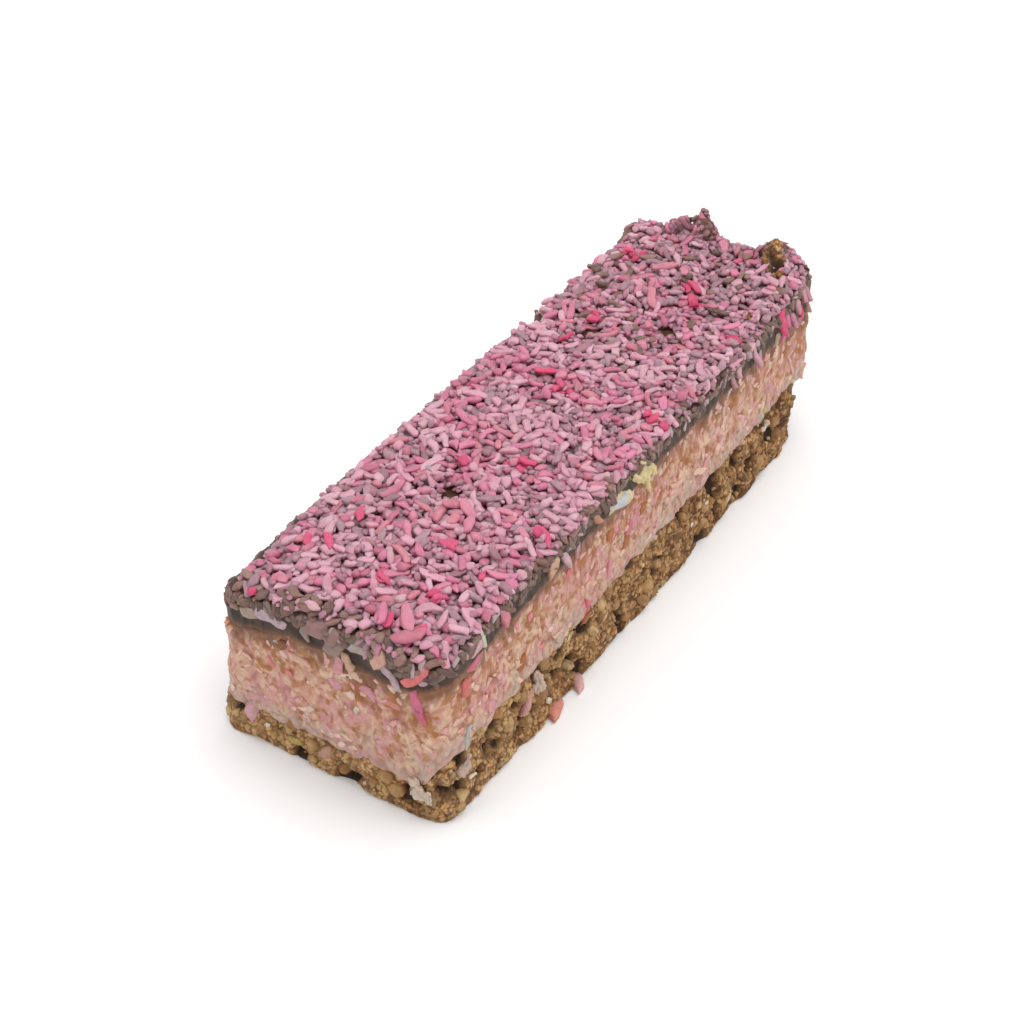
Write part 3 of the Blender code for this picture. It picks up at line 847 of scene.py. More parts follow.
# Where crumb has fallen out of the base's right side: along the slice, height and radius in mm
SIDE_HOLES = (
    (23.5, 10.5, 1.7), (12, 11, 1.5), (-32, 10.4, 1.7), (-23.3, 3.6, 1.8), (-30.4, 7.0, 1.4),
    (-47.5, 9.8, 1.7), (-49, 7.0, 1.8), (-52, 5.5, 1.3), (-40.2, 4.3, 1.4), (-36.4, 5.0, 1.4),
    (-10.5, 5.3, 1.4), (2, 7, 1.3), (36, 6, 1.4), (43, 9.5, 1.5), (50, 6, 1.4), (56, 10, 1.3),
)
# The same at its neat end: across the slice, height and radius
END_HOLES = ((-20.0, 6, 1.7), (-2, 3.6, 0.9), (9.5, 4.6, 0.9), (16, 5.0, 0.9))
HOLE_DEPTH = 2.2 * MM
HOLE_EASE = 1.4  # radii from a hole's middle to where it ends
SIDE_BAND, END_BAND = 0.6, 0.9  # holes lie beyond this share of the way out to the base's wall
HOLE_CLEAR = 0.5  # loose crumbs lie no deeper in a hole than this share

# The chocolate
WALL_START = 0.03  # share of the way up the solid's wall where the lowest row lies
# The underside of its lower edge, from the inside out: how far in and how far up
CHOCOLATE_LIP = ((0.9 * MM, 0.25 * MM), (0.45 * MM, -0.12 * MM), (0.12 * MM, -0.1 * MM))
FINE_DRIPS, BROAD_DRIPS = 3, 2.2  # how much finer and broader than the setting other drips are
KNIFE_STRETCH = 0.12  # heights count this much beside widths in the marks of the knife
TOP_EASE = 5  # from one part in this many of the way in, the top follows the solid's
THIN_ROWS = (0.9, 0.9, 0.85, 0.7, 0.45, 0.2)  # how far the lowest rings thin to a smear
DUSTED = 0.3  # how far coconut dust gives the top the colour of a smear


def layer_object(name, node, rings, material):
    """A layer lofted through rings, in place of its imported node."""
    points = np.concatenate(rings)
    obj = mesh_object(name, points, ring_faces(len(rings), len(rings[0])), material)
    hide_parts(node)
    return obj


def pushed(rings, first, last, normals, relief):
    """Moves the points of some rings out of the wall by their relief."""
    count = len(normals)
    for index in range(first, last):
        here = relief[index * count:(index + 1) * count]
        rings[index][:, :2] += normals * here[:, None]


def between(first, second, part):
    """The ring, or the number, a share of the way from one to another."""
    return first + (second - first) * part


def edge_wander(points):
    """How far the edge between base and filling strays up and down at each column."""
    level = np.column_stack([points, np.zeros(len(points))])
    return sum(perlin(level, spacing, part) * height for height, spacing, part in WANDER)


@functools.cache
def base_corner():
    """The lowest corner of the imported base's box."""
    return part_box("biscuit_base")[0]


def holes_at(points):
    """How deep in a fallen-out hole of the base each point is, from 0 to 1."""
    end, right, _ = base_corner()
    on_side, on_end = points[:, 1] < right * SIDE_BAND, points[:, 0] < end * END_BAND
    depth = np.zeros(len(points))
    for holes, axis, there in ((SIDE_HOLES, 0, on_side), (END_HOLES, 1, on_end)):
        for middle, height, radius in holes:
            away = np.hypot(points[:, axis] - middle * MM, points[:, 2] - height * MM)
            depth = np.fmax(depth, smooth(HOLE_EASE - away / (radius * MM)) * there)
    return depth


def crumb_relief(points, settings):
    """How far crumb stands out of the base, each crumb's tone, and how much painted shade it takes
    in holes and gaps.
    """
    warp = bends(points, settings.crumb, (3.0, 37.0, 71.0))
    bent = points + warp * settings.crumb * CRUMB_BEND
    far, _ = cells(bent, settings.clump)
    relief = (CLUMP_LEVEL - far) * settings.clump_height
    near, tone = cells(bent + relief[:, None], settings.crumb)
    dome = np.sqrt(np.clip(1 - (near / DOME_REACH) ** 2, 0, 1))
    tallness = LOWEST_CRUMB + (1 - LOWEST_CRUMB) * np.abs(tone)
    relief += (dome * tallness - CRUMB_LEVEL) * settings.crumb_height
    relief += perlin(points, settings.grit) * settings.grit_height
    hole = smooth((perlin(points, settings.pit, 9.0) - PIT_START) / PIT_EASE)
    fallen = holes_at(points + warp * settings.crumb * HOLE_BEND)
    relief -= np.fmax(hole * settings.pit_depth, fallen * HOLE_DEPTH)
    # Painted shade: holes and the gaps between crumbs and clumps are darkened by how deep they lie
    gap = sum(
        smooth((away - start) / ease)
        for away, (start, ease) in ((near, CRUMB_GAP), (far, CLUMP_GAP))
    )
    pit = np.clip(np.fmax(hole, fallen) * PIT_SHADE + gap * GAP_SHADE, 0, 1)
    return relief, np.abs(tone), pit


def paste_relief(points, settings):
    """How far the filling's strands stand out, and how much painted shade a point takes between
    them.
    """
    warp = bends(points, settings.lump, (0.0, 31.0, 57.0))
    relief = warp[:, 0] * settings.lump_height
    bent = (points + warp * settings.lump * PASTE_BEND) * (1, 1, DRAG_STRETCH)
    near, own = cells(bent, settings.strand)
    dome = 1 - np.clip(near / DOME_REACH, 0, 1) ** 2
    tallness = LOWEST_STRAND + (1 - LOWEST_STRAND) * np.abs(own)
    relief += (dome * tallness - STRAND_LEVEL) * settings.strand_height
    fibre = perlin(points, settings.strand / FIBRE_SPLIT)
    relief += fibre * settings.strand_height * FIBRE_SHARE
    start, ease = STRAND_GAP
    return relief, smooth((near - start) / ease) * STRAND_SHADE


class CHERRYSLICE_OT_biscuit(bpy.types.Operator):
    """Build the pressed crumb base"""

    bl_idname = "cherry_slice.biscuit"
    bl_label = "Biscuit base"
    bl_options = {"REGISTER", "UNDO"}

    def execute(self, context):
        settings = context.scene.cherry_slice
        wall = wall_of("biscuit_base")
        stray = edge_wander(wall.points)
        shares = np.linspace(0, 1, BISCUIT_ROWS)
        rows = [wall.ring(part, rise=stray * part) for part in shares]
        for row, inset in zip(rows, FOOT_CURVE):
            row[:, :2] -= wall.normals * FOOT_RADIUS * inset
        above = wall.ring(1.0, -INTERLOCK_SINK, stray + INTERLOCK)
        rows += [between(rows[-1], above, part) for part in BISCUIT_TUCKS]
        sole = [wall.ring(0.0, -inset) * (1, 1, 0) for inset in UNDERSIDE_INSETS]
        cap = inner_rings(wall, rows[BISCUIT_ROWS - 1], BISCUIT_CAP, from_above=True)
        rings = [middle_ring(0.0), *sole, *rows, *cap]
        relief, tone, pit = crumb_relief(np.concatenate(rings), settings.biscuit)
        free = smooth(np.concatenate(rings)[:, 2] / FOOT_HOLD)
        relief *= FOOT_RELIEF + (1 - FOOT_RELIEF) * free
        first = 1 + len(sole)
        pushed(rings, first, first + len(rows), wall.normals, relief)
        obj = layer_object(
            "biscuit_crumb_base", "biscuit_base", rings, biscuit_material(settings.biscuit),
        )
        # The pit attribute carries the painted shade of holes and of gaps between crumbs
        give(obj, tone=tone, pit=pit)
        closed_up(obj)
        return {"FINISHED"}


class CHERRYSLICE_OT_filling(bpy.types.Operator):
    """Build the coconut and cherry filling"""

    bl_idname = "cherry_slice.filling"
    bl_label = "Coconut filling"
    bl_options = {"REGISTER", "UNDO"}

    def execute(self, context):
        settings = context.scene.cherry_slice
        wall = wall_of("coconut_filling")
        stray = edge_wander(wall.points)
        shares = np.linspace(0, 1, FILLING_ROWS)
        rows = [wall.ring(part, rise=stray * (1 - part)) for part in shares]
        below = wall.ring(0.0, -INTERLOCK_SINK, stray - INTERLOCK)
        above = wall.ring(1.0, -INTERLOCK_SINK, INTERLOCK)
        foot = [between(below, rows[0], part) for part in FILLING_FOOT_TUCKS]
        head = [between(rows[-1], above, part) for part in FILLING_HEAD_TUCKS]
        floor = inner_rings(wall, rows[0], FILLING_FLOOR, from_above=False)[::-1]
        cap = inner_rings(wall, rows[-1], FILLING_CAP, from_above=True)
        rings = [*floor, *foot, *rows, *head, *cap]
        relief, hollow = paste_relief(np.concatenate(rings), settings.filling)
        pushed(rings, len(floor), len(rings) - len(cap), wall.normals, relief)
        rise = np.concatenate([
            (ring[:, 2] - wall.low - stray) / (wall.high - wall.low - stray) for ring in rings
        ])
        obj = layer_object(
            "coconut_cherry_filling", "coconut_filling", rings,
            filling_material(settings.filling, settings.chocolate.smear),
        )
        # The second attribute is painted shade between the strands
        give(obj, rise=np.clip(rise, 0, 1), hollow=hollow)
        closed_up(obj)
        return {"FINISHED"}


class CHERRYSLICE_OT_chocolate(bpy.types.Operator):
    """Build the poured chocolate"""

    bl_idname = "cherry_slice.chocolate"
    bl_label = "Chocolate"
    bl_options = {"REGISTER", "UNDO"}

    def execute(self, context):
        settings = context.scene.cherry_slice
        wall = wall_of("chocolate_topping")
        chocolate = settings.chocolate
        _, normals, middles = path()
        rims = rim_radii()[:, None]
        rows = [wall.ring(part) for part in np.linspace(WALL_START, 1, CHOCOLATE_ROWS)]
        level = rows[0] * (1, 1, 0)
        drip = perlin(level, chocolate.drip) * chocolate.drip_depth
        drip += perlin(level, chocolate.drip / FINE_DRIPS, 4.0) * chocolate.drip_depth / 2
        broad = perlin(level, chocolate.drip * BROAD_DRIPS, 8.0) * chocolate.drip_depth
        drip += broad * abs(normals[:, 1])
        for index, row in enumerate(rows):
            row[:, 2] -= drip * (1 - index / (CHOCOLATE_ROWS - 1)) ** 2
        outward = np.column_stack([normals, np.zeros(len(normals))])
        lip = [rows[0] + (0, 0, rise) - outward * inset for inset, rise in CHOCOLATE_LIP]
        rim = []
        for step in range(1, RIM_ROWS + 1):
            turn = step / RIM_ROWS * math.pi / 2
            rim.append(
                rows[-1] - outward * rims * (1 - math.cos(turn))
                + rims * (0, 0, math.sin(turn))
            )
        top = []
        for part in np.arange(1, TOP_ROWS + 1) / TOP_ROWS:
            plan = between(rim[-1][:, :2], middles, part)
            height = between(rim[-1][:, 2], chocolate_level().at(plan), smooth(part * TOP_EASE))
            top.append(np.column_stack([plan, height]))
        bottom = inner_rings(wall, rows[0], CHOCOLATE_FLOOR, from_above=False)[::-1]
        rings = [*bottom, *lip, *rows, *rim, *top]
        points = np.concatenate(rings)
        ripple = perlin(points, chocolate.ripple) * chocolate.ripple_height
        drag = perlin(points * (1, 1, KNIFE_STRETCH), chocolate.drag) * chocolate.drag_depth
        first = len(bottom)
        pushed(rings, first, len(rings) - len(top), normals, ripple + drag)
        for index in range(len(rings) - len(top), len(rings) - 1):
            rings[index][:, 2] += ripple[index * len(normals):(index + 1) * len(normals)]
        thin = np.zeros((len(rings), len(normals)))
        thin[-len(top):] = DUSTED
        thin[first:first + len(THIN_ROWS)] = np.array(THIN_ROWS)[:, None]
        obj = layer_object(
            "poured_chocolate", "chocolate_topping", rings, chocolate_material(chocolate),
        )
        give(obj, thin=thin.ravel())
        closed_up(obj)
        return {"FINISHED"}


# Small pieces

ROD_STATIONS = (-1.0, -0.9, -0.5, 0.0, 0.5, 0.9, 1.0)
ROD_GIRTHS = (0.72, 0.97, 1.0, 1.0, 1.0, 0.97, 0.72)  # rounds the ends off
ROD_SIDES = 8
ROD_TAPERS = (0.0, 0.4)  # how much of its girth an end loses
ROD_WAVES, ROD_STRAY = (0.13, 0.1, 0.1), 0.045  # waves round and along it, and roughness
ROD_SECTIONS = (0.4, 0.75)  # powers of the circle: the lower, the squarer
ROD_SLANT = 1.0  # how aslant its ends may be cut
ROD_BENDS = (0.13, 0.09)  # sideways and up, of its length
CHIP_RATIO = 1.55  # a grain that is shorter than this for its width is a chip
CHIP_WEAR, CHIP_FULLNESS = (0.45, 0.85), 1.12  # from a block towards a ball of that radius
CHIP_LEAN, CHIP_STRAY = 0.2, 0.07  # how uneven its sides and its points are
CRUMB_LUMPS = ((0.5, 0.8), (0.3, 0.35))  # of its radius: height and spacing
CRUMB_STRETCH = (0.7, 1.15)  # along each of its axes
NEARLY_LEVEL = 0.05  # a face that leans less than this has no direction of its own


@functools.cache
def rod_faces():
    """Faces of a grain: rings of points along it, and a point at each end."""
    rings = len(ROD_STATIONS)
    faces = ring_faces(rings, ROD_SIDES)
    tail, head = rings * ROD_SIDES, rings * ROD_SIDES + 1
    last = (rings - 1) * ROD_SIDES
    for side in range(ROD_SIDES):
        beside = (side + 1) % ROD_SIDES
        faces.append([tail, beside, side])
        faces.append([head, last + side, last + beside])
    return faces


def rod(rng, size, tapers=None):
    """Points and faces of one shred of coconut: bent and blunt, no two alike.

    Its length lies along X, its width along Y and its thickness along Z.  The tapers are how
    much of its girth each end loses.
    """
    stations = np.repeat(ROD_STATIONS, ROD_SIDES)
    girths = np.repeat(ROD_GIRTHS, ROD_SIDES)
    turns = np.tile(np.arange(ROD_SIDES) / ROD_SIDES * 2 * math.pi, len(ROD_STATIONS))
    turns = turns + rng.uniform(0, 2 * math.pi)
    tapers = rng.uniform(*ROD_TAPERS, 2) if tapers is None else tapers
    girths = girths * (1 - np.where(stations > 0, tapers[1], tapers[0]) * np.abs(stations) ** 1.5)
    starts = rng.uniform(0, 2 * math.pi, 3)
    waves = (2 * turns, 3 * turns + 4 * stations, 5 * stations)
    wavy = sum(
        height * np.sin(wave + start) for height, wave, start in zip(ROD_WAVES, waves, starts)
    )
    girths = girths * (1 + wavy + rng.normal(0, ROD_STRAY, len(turns)))
    power = rng.uniform(*ROD_SECTIONS)
    y, z = (np.sign(w) * np.abs(w) ** power * girths for w in (np.cos(turns), np.sin(turns)))
    slants = rng.uniform(-ROD_SLANT, ROD_SLANT, 2)
    slant = np.where(stations > 0, slants[1], slants[0]) * np.abs(stations) ** 3
    x = stations + slant * y * size[1] / size[0]
    points = np.column_stack([x, y, z])
    ends = [points[:ROD_SIDES].mean(0) * (1.02, 1, 1), points[-ROD_SIDES:].mean(0) * (1.02, 1, 1)]
    points = np.vstack([points, *ends]) * np.array(size) / 2
    arch = ((points[:, 0] * 2 / size[0]) ** 2 - 0.33) * size[0] / 2
    sideways, up = (rng.normal(0, bend) for bend in ROD_BENDS)
    points[:, 1] += sideways * arch
    points[:, 2] -= up * arch
    return points, rod_faces()


@functools.cache
def chip_template():
    """Points and faces of a cube with a point in the middle of each edge and side."""
    bm = bmesh.new()
    bmesh.ops.create_cube(bm, size=2)
    bmesh.ops.subdivide_edges(bm, edges=bm.edges, cuts=1, use_grid_fill=True)
    return parts_of(bm)


def chip(rng, size):
    """Points and faces of one chip of coconut: a leaning, uneven block with worn edges."""
    cube, faces = chip_template()
    worn = rng.uniform(*CHIP_WEAR)
    ball = cube / np.linalg.norm(cube, axis=1)[:, None]
    points = cube * (1 - worn) + ball * worn * CHIP_FULLNESS
    lean = rng.normal(0, CHIP_LEAN, 4)
    points[:, 0] += lean[0] * points[:, 1] + lean[1] * points[:, 2]
    points[:, 1] *= 1 + lean[2] * points[:, 0]
    points[:, 2] *= 1 + lean[3] * points[:, 0]
    points += rng.normal(0, CHIP_STRAY, points.shape)
    return points * np.array(size) / 2, faces


def grain(rng, size):
    """A chip where the size is short for its width, or else a shred."""
    return chip(rng, size) if size[0] < size[1] * CHIP_RATIO else rod(rng, size)


@functools.cache
def crumb_template():
    """Points and faces of a ball, to be made into crumbs."""
    bm = bmesh.new()
    bmesh.ops.create_icosphere(bm, subdivisions=2, radius=1)
    return parts_of(bm)


def crumb(rng, radius):
    """Points and faces of one lumpy, uneven crumb."""
    ball, faces = crumb_template()
    offset = rng.uniform(0, 50)
    lumps = 1 + sum(height * perlin(ball, spacing, offset) for height, spacing in CRUMB_LUMPS)
    return ball * lumps[:, None] * rng.uniform(*CRUMB_STRETCH, 3) * radius, faces


class Scatter:
    """Many like pieces gathered into one mesh."""

    def __init__(self):
        self.pieces, self.faces, self.count = [], [], 0

    def put(self, shape, place, along, across, up):
        """Adds a shape's points and faces at a place, turned to three directions."""
        points, faces = shape
        self.faces += [[corner + self.count for corner in face] for face in faces]
        self.pieces.append(place + points @ np.array([along, across, up]))
        self.count += len(points)

    def build(self, name, material, slot):
        """The piece that they make."""
        return mesh_object(name, np.concatenate(self.pieces), self.faces, material)


def fused(name, balls, voxel, material, slot):
    """One closed body made by melting balls together, each a place and a radius."""
    points, faces = crumb_template()
    scatter = Scatter()
    for *place, radius in balls:
        scatter.put((points * radius, faces), np.array(place), *np.eye(3))
    obj = scatter.build(name, material, slot)
    melt = obj.modifiers.new("melt", "REMESH")
    melt.mode, melt.voxel_size = "VOXEL", voxel
    depsgraph = bpy.context.evaluated_depsgraph_get()
    mesh = bpy.data.meshes.new_from_object(obj.evaluated_get(depsgraph))
    obj.modifiers.remove(melt)
    obj.data = mesh
    mesh.shade_smooth()
    return obj


def surface_of(obj):
    """Points and outward directions all over a piece."""
    count = len(obj.data.vertices)
    points, normals = np.empty(count * 3), np.empty(count * 3)
    obj.data.vertices.foreach_get("co", points)
    obj.data.vertices.foreach_get("normal", normals)
    return points.reshape(-1, 3), normals.reshape(-1, 3)


def roughened(obj, relief):
    """Moves a piece's points out of its surface by their relief."""
    points, normals = surface_of(obj)
    points = kept_inside(points + normals * np.asarray(relief)[:, None])
    obj.data.vertices.foreach_set("co", points.ravel())
    obj.data.update()


def along_lines(lines, spacing):
    """Balls strung along lines of places and radii in millimetres."""
    balls = []
    for line in lines:
        for start, end in zip(np.array(line[:-1]), np.array(line[1:])):
            count = max(1, round(np.linalg.norm((end - start)[:3]) / spacing))
            balls += [start + (end - start) * step / count for step in range(count + 1)]
    return np.array(balls) * MM


def unit(vector):
    """The vector at a length of one."""
    return vector / np.linalg.norm(vector)


def frame_on(normal, roll):
    """Directions along, across and out of a surface, turned about its normal from level."""
    level = np.cross((0, 0, 1), normal)
    leans = np.linalg.norm(level) > NEARLY_LEVEL
    level = unit(level) if leans else np.array((1.0, 0.0, 0.0))
    rising = np.cross(normal, level)
    along = level * math.cos(roll) + rising * math.sin(roll)
    return along, np.cross(normal, along), normal


def landed(tree, start, way):
    """Where a ray meets a surface, and the way that faces there, or None."""
    spot, normal, _, _ = tree.ray_cast(Vector(start), Vector(way), RAY_REACH)
    return None if spot is None else (np.array(spot), np.array(normal))


def wall_spot(tree, column, height):
    """Where a level ray at a column meets a piece's wall."""
    points, normals, _ = path()
    start = (*(points[column] + normals[column] * RAY_START), height)
    return landed(tree, start, (*-normals[column], 0.0))


def nearest_column(plan):
    """The column whose plan point is nearest."""
    points = path()[0]
    return int(np.argmin(np.linalg.norm(points - plan, axis=1)))


def tree_named(name):
    """A search tree over a finished piece."""
    return tree_of(bpy.data.objects[name].data)


def tints_of(base, codes):
    """A setting's colour, and others that grains of its kind take."""
    return [tuple(base), *(hex_linear(code) for code in codes.split())]


# How strewn coconut lies
PILE_STEP = 0.3 * MM
STEEPEST = 0.45  # radians that a strewn grain leans at most
GRAIN_SINKS = (0.62, 0.32)  # of its thickness: the first grains into the chocolate, the last
SINK_PACE, SOAK_PACE = 2.2, 1.2  # at 1 the change from first to last takes all the grains
HIGH_SHARE = 0.35  # how far a grain rests on the highest spot under it, rather than on the mean
# Where a grain feels for what is under it: shares of its length and of its width
FEELERS_ALONG, FEELERS_ACROSS = (-0.45, -0.27, -0.09, 0.09, 0.27, 0.45), (-0.35, 0.0, 0.35)
CROWN_FALL = 0.8  # how far a grain's upper face falls away at its sides
TRIES = 4  # spots looked at for each grain, of which the least covered is taken
FINES_TRIES = 9  # the same for the small bits
FINES_SIZE, FINES_SCALES = (1.05, 0.85, 0.65), (0.65, 1.3)  # of a middling bit, in mm
# Chunks, rods and long flakes: the share of grains up to each kind, and its length, width and
# thickness beside a middling grain's
GRAIN_KINDS = (
    (0.46, ((0.6, 0.92), (0.78, 1.12), (0.85, 1.2))),
    (0.91, ((0.92, 1.35), (0.68, 0.95), (0.75, 1.05))),
    (1.0, ((1.4, 1.95), (0.75, 1.0), (0.7, 0.9))),
)
CRUST_CLEAR = 1.5 * MM  # grains are strewn no higher than this on the broken crust
RIM_REACH = 1.7 * MM  # how far below the level of the chocolate a strewn grain may lie
TORN_START, TORN_REACH = 38 * MM, 0.5 * MM  # the same on the right towards the ragged end
LEFT_CLEAR = 2.7 * MM  # width of the strip along the left where none are strewn
SLOPE_WIDTH, SLOPE_DEPTH = 5.2 * MM, 0.45 * MM  # beside it, where they lie no deeper than this
SPARSE_START, SPARSE_WIDTH = 22 * MM, 20 * MM  # towards the ragged end, where fewer grains fell
SPARSE_SHARE, SPARSE_LAYER = 0.3, 0.4  # share left out there, of the grains that fell last

# Which dye or coating a grain took
COLOUR_PATCH = 11 * MM  # distance between patches of stronger dye
FRONT_COATED, RIGHT_COATED, LEFT_COATED = 3.0 * MM, 1.7 * MM, 1.3 * MM  # width of coated strips
STRIP_WANDER, STRIP_SPACING = 1.6 * MM, 3 * MM
# The share of a strip's grains up to each kind
FRONT_KINDS = ((0.72, "coated"), (0.88, "mauve"), (1.0, "pale"))
RIGHT_KINDS = ((0.5, "coated"), (0.8, "mauve"), (1.0, "pale"))
LEFT_KINDS = ((0.25, "coated"), (0.7, "mauve"), (1.0, "rose"))
LEAST_SOAKED, FAR_SOAKED = 0.1, 0.22  # of the last grains, and more of them at the ragged end
FAR_COATED = 0.7  # share of those that are coated
POOLED_SHARE, HOT_SHARE = 0.3, 0.014  # hot where the dye pooled, and anywhere
ROSE_SHARE = 0.45  # of the rest, of which the others are pale

# Plan points in mm where the dye pooled, and where the chocolate shows
HOT_SPOTS = (
    (-48, 10), (-50, -2), (-50, -11), (18, 8), (26, 7), (42, -4), (39, -5), (47, 11), (6, -17),
    (-29, -17), (-60, 13), (59, -8), (-38, -6), (-16, -7), (-57, -9), (4, 0), (49, 12),
)
BARE_SPOTS = ((23, 5), (-50, 4), (-27, 1), (44, -13), (33, 1), (30, -6), (51, -3), (58, 16.5))
HOT_REACH, BARE_REACH = 2.2 * MM, 2.6 * MM
HOT_GRAINS, HOT_STRAY, HOT_SCALE = 2, 0.8, 0.9  # added to each spot: count, stray in mm, size
BARE_SHARE = 0.93  # of the grains are kept off a bare spot
FLAKE_TAPERS = (0.25, 0.4)
# The largest flakes: plan point and size in mm, and which way they point
LARGE_FLAKES = (
    ((-33.0, -4.2), (3.2, 1.5, 0.9), 0.2), ((-32.9, -1.4), (4.0, 1.5, 1.0), 0.16),
    ((-30.3, -2.2), (3.6, 1.7, 1.0), 2.5), ((-30.0, -4.6), (4.0, 1.7, 1.0), 1.14),
    ((-32.9, -6.8), (4.8, 1.6, 1.0), 0.41), ((36.5, 0.5), (5.6, 1.6, 1.1), 0.5),
    ((46.5, 3.5), (5.2, 1.5, 1.0), 2.6), ((-56.5, -7.5), (5.0, 1.3, 1.0), 0.55),
    ((-58.3, -13.1), (4.8, 2.2, 1.0), 2.3), ((-55.5, -11.0), (5.2, 2.0, 1.1), 0.7),
)


class Pile:
    """Grains dropped one by one, each of which lies on what is already there."""

    def __init__(self, trees, low, high):
        """Reads the ground from search trees, as NaN where no grain may lie."""
        self.map = HeightMap(low, high, PILE_STEP)
        spots = self.map.spots()
        level = chocolate_level().at(spots)
        ground = np.fmax(*(heights_of(tree, spots, from_above=True) for tree in trees))
        ground[(ground < level - RIM_REACH) | (ground > level + CRUST_CLEAR)] = math.nan
        ground[spots[:, 1] > high[1] - LEFT_CLEAR] = math.nan
        torn = (spots[:, 0] > TORN_START) & (spots[:, 1] < 0)
        ground[torn & (ground < level - TORN_REACH)] = math.nan
        self.map.heights = ground.reshape(self.map.shape)
        self.ground = self.map.heights.copy()
        self.left = high[1]

    def cell(self, plan):
        """The cell of the map that each plan point lies in."""
        place = np.rint((plan - self.map.low) / self.map.step).astype(int)
        return np.clip(place, 0, np.array(self.map.shape) - 1).T

    def depth(self, plan):
        """How deep the grains lie at a plan point, or NaN off the slice."""
        x, y = self.cell(plan)
        return self.map.heights[x, y] - self.ground[x, y]

    def full(self, plan):
        """Whether no more grains would lie at a plan point, because it slopes off."""
        return self.left - plan[1] < SLOPE_WIDTH and self.depth(plan) > SLOPE_DEPTH

    def drop(self, plan, size, yaw, sink=GRAIN_SINKS[1]):
        """Lays a grain down: its place and its directions, or None where it would fall off."""
        along = np.array([math.cos(yaw), math.sin(yaw)])
        across = np.array([-along[1], along[0]])
        steps = np.array(FEELERS_ALONG)
        s, t = np.meshgrid(steps, FEELERS_ACROSS, indexing="ij")
        spots = plan + s.reshape(-1, 1) * size[0] * along + t.reshape(-1, 1) * size[1] * across
        heights = self.map.heights[tuple(self.cell(spots))].reshape(s.shape)
        if np.isnan(heights).any():
            return None
        profile = heights.mean(axis=1)
        lean = math.atan((profile * steps).sum() / (steps ** 2).sum() / size[0])
        lean = max(-STEEPEST, min(STEEPEST, lean))
        rest = profile.mean() * (1 - HIGH_SHARE) + heights.max() * HIGH_SHARE
        seat = rest + size[2] * (0.5 - sink)
        self.raise_to(plan, size, along, across, lean, seat)
        run = np.array([*(along * math.cos(lean)), math.sin(lean)])
        side = np.array([*across, 0.0])
        return np.array([*plan, seat]), run, side, np.cross(run, side)

    def raise_to(self, plan, size, along, across, lean, seat):
        """Marks what a grain has covered."""
        reach = size[0] / 2 + PILE_STEP
        first, last = (self.cell(plan + side * reach) for side in (-1, 1))
        x, y = np.meshgrid(*(np.arange(a, b + 1) for a, b in zip(first, last)), indexing="ij")
        offset = np.stack([x, y], axis=-1) * self.map.step + self.map.low - plan
        s, t = offset @ along / (size[0] / 2), offset @ across / (size[1] / 2)
        crown = size[2] / 2 * np.sqrt(np.clip(1 - CROWN_FALL * t ** 2, 0, 1))
        top = seat + s * size[0] / 2 * math.tan(lean) + crown
        block = self.map.heights[x, y]
        covered = (np.abs(s) < 1) & (np.abs(t) < 1) & ~np.isnan(block)
        self.map.heights[x, y] = np.where(covered, np.fmax(block, top), block)


def near_any(plan, spots, reach):
    """Whether a plan point is near one of some spots."""
    return bool((np.linalg.norm(np.array(spots) * MM - plan, axis=1) < reach).any())


def grain_size(rng, coconut, scale=1.0):
    """Length, width and thickness of one grain: a chunk, a rod or a long flake."""
    middling = np.array([coconut.grain_length, coconut.grain_width, coconut.grain_thickness])
    lot = rng.random()
    spans = next(spans for most, spans in GRAIN_KINDS if lot < most)
    return middling * [rng.uniform(*span) for span in spans] * scale


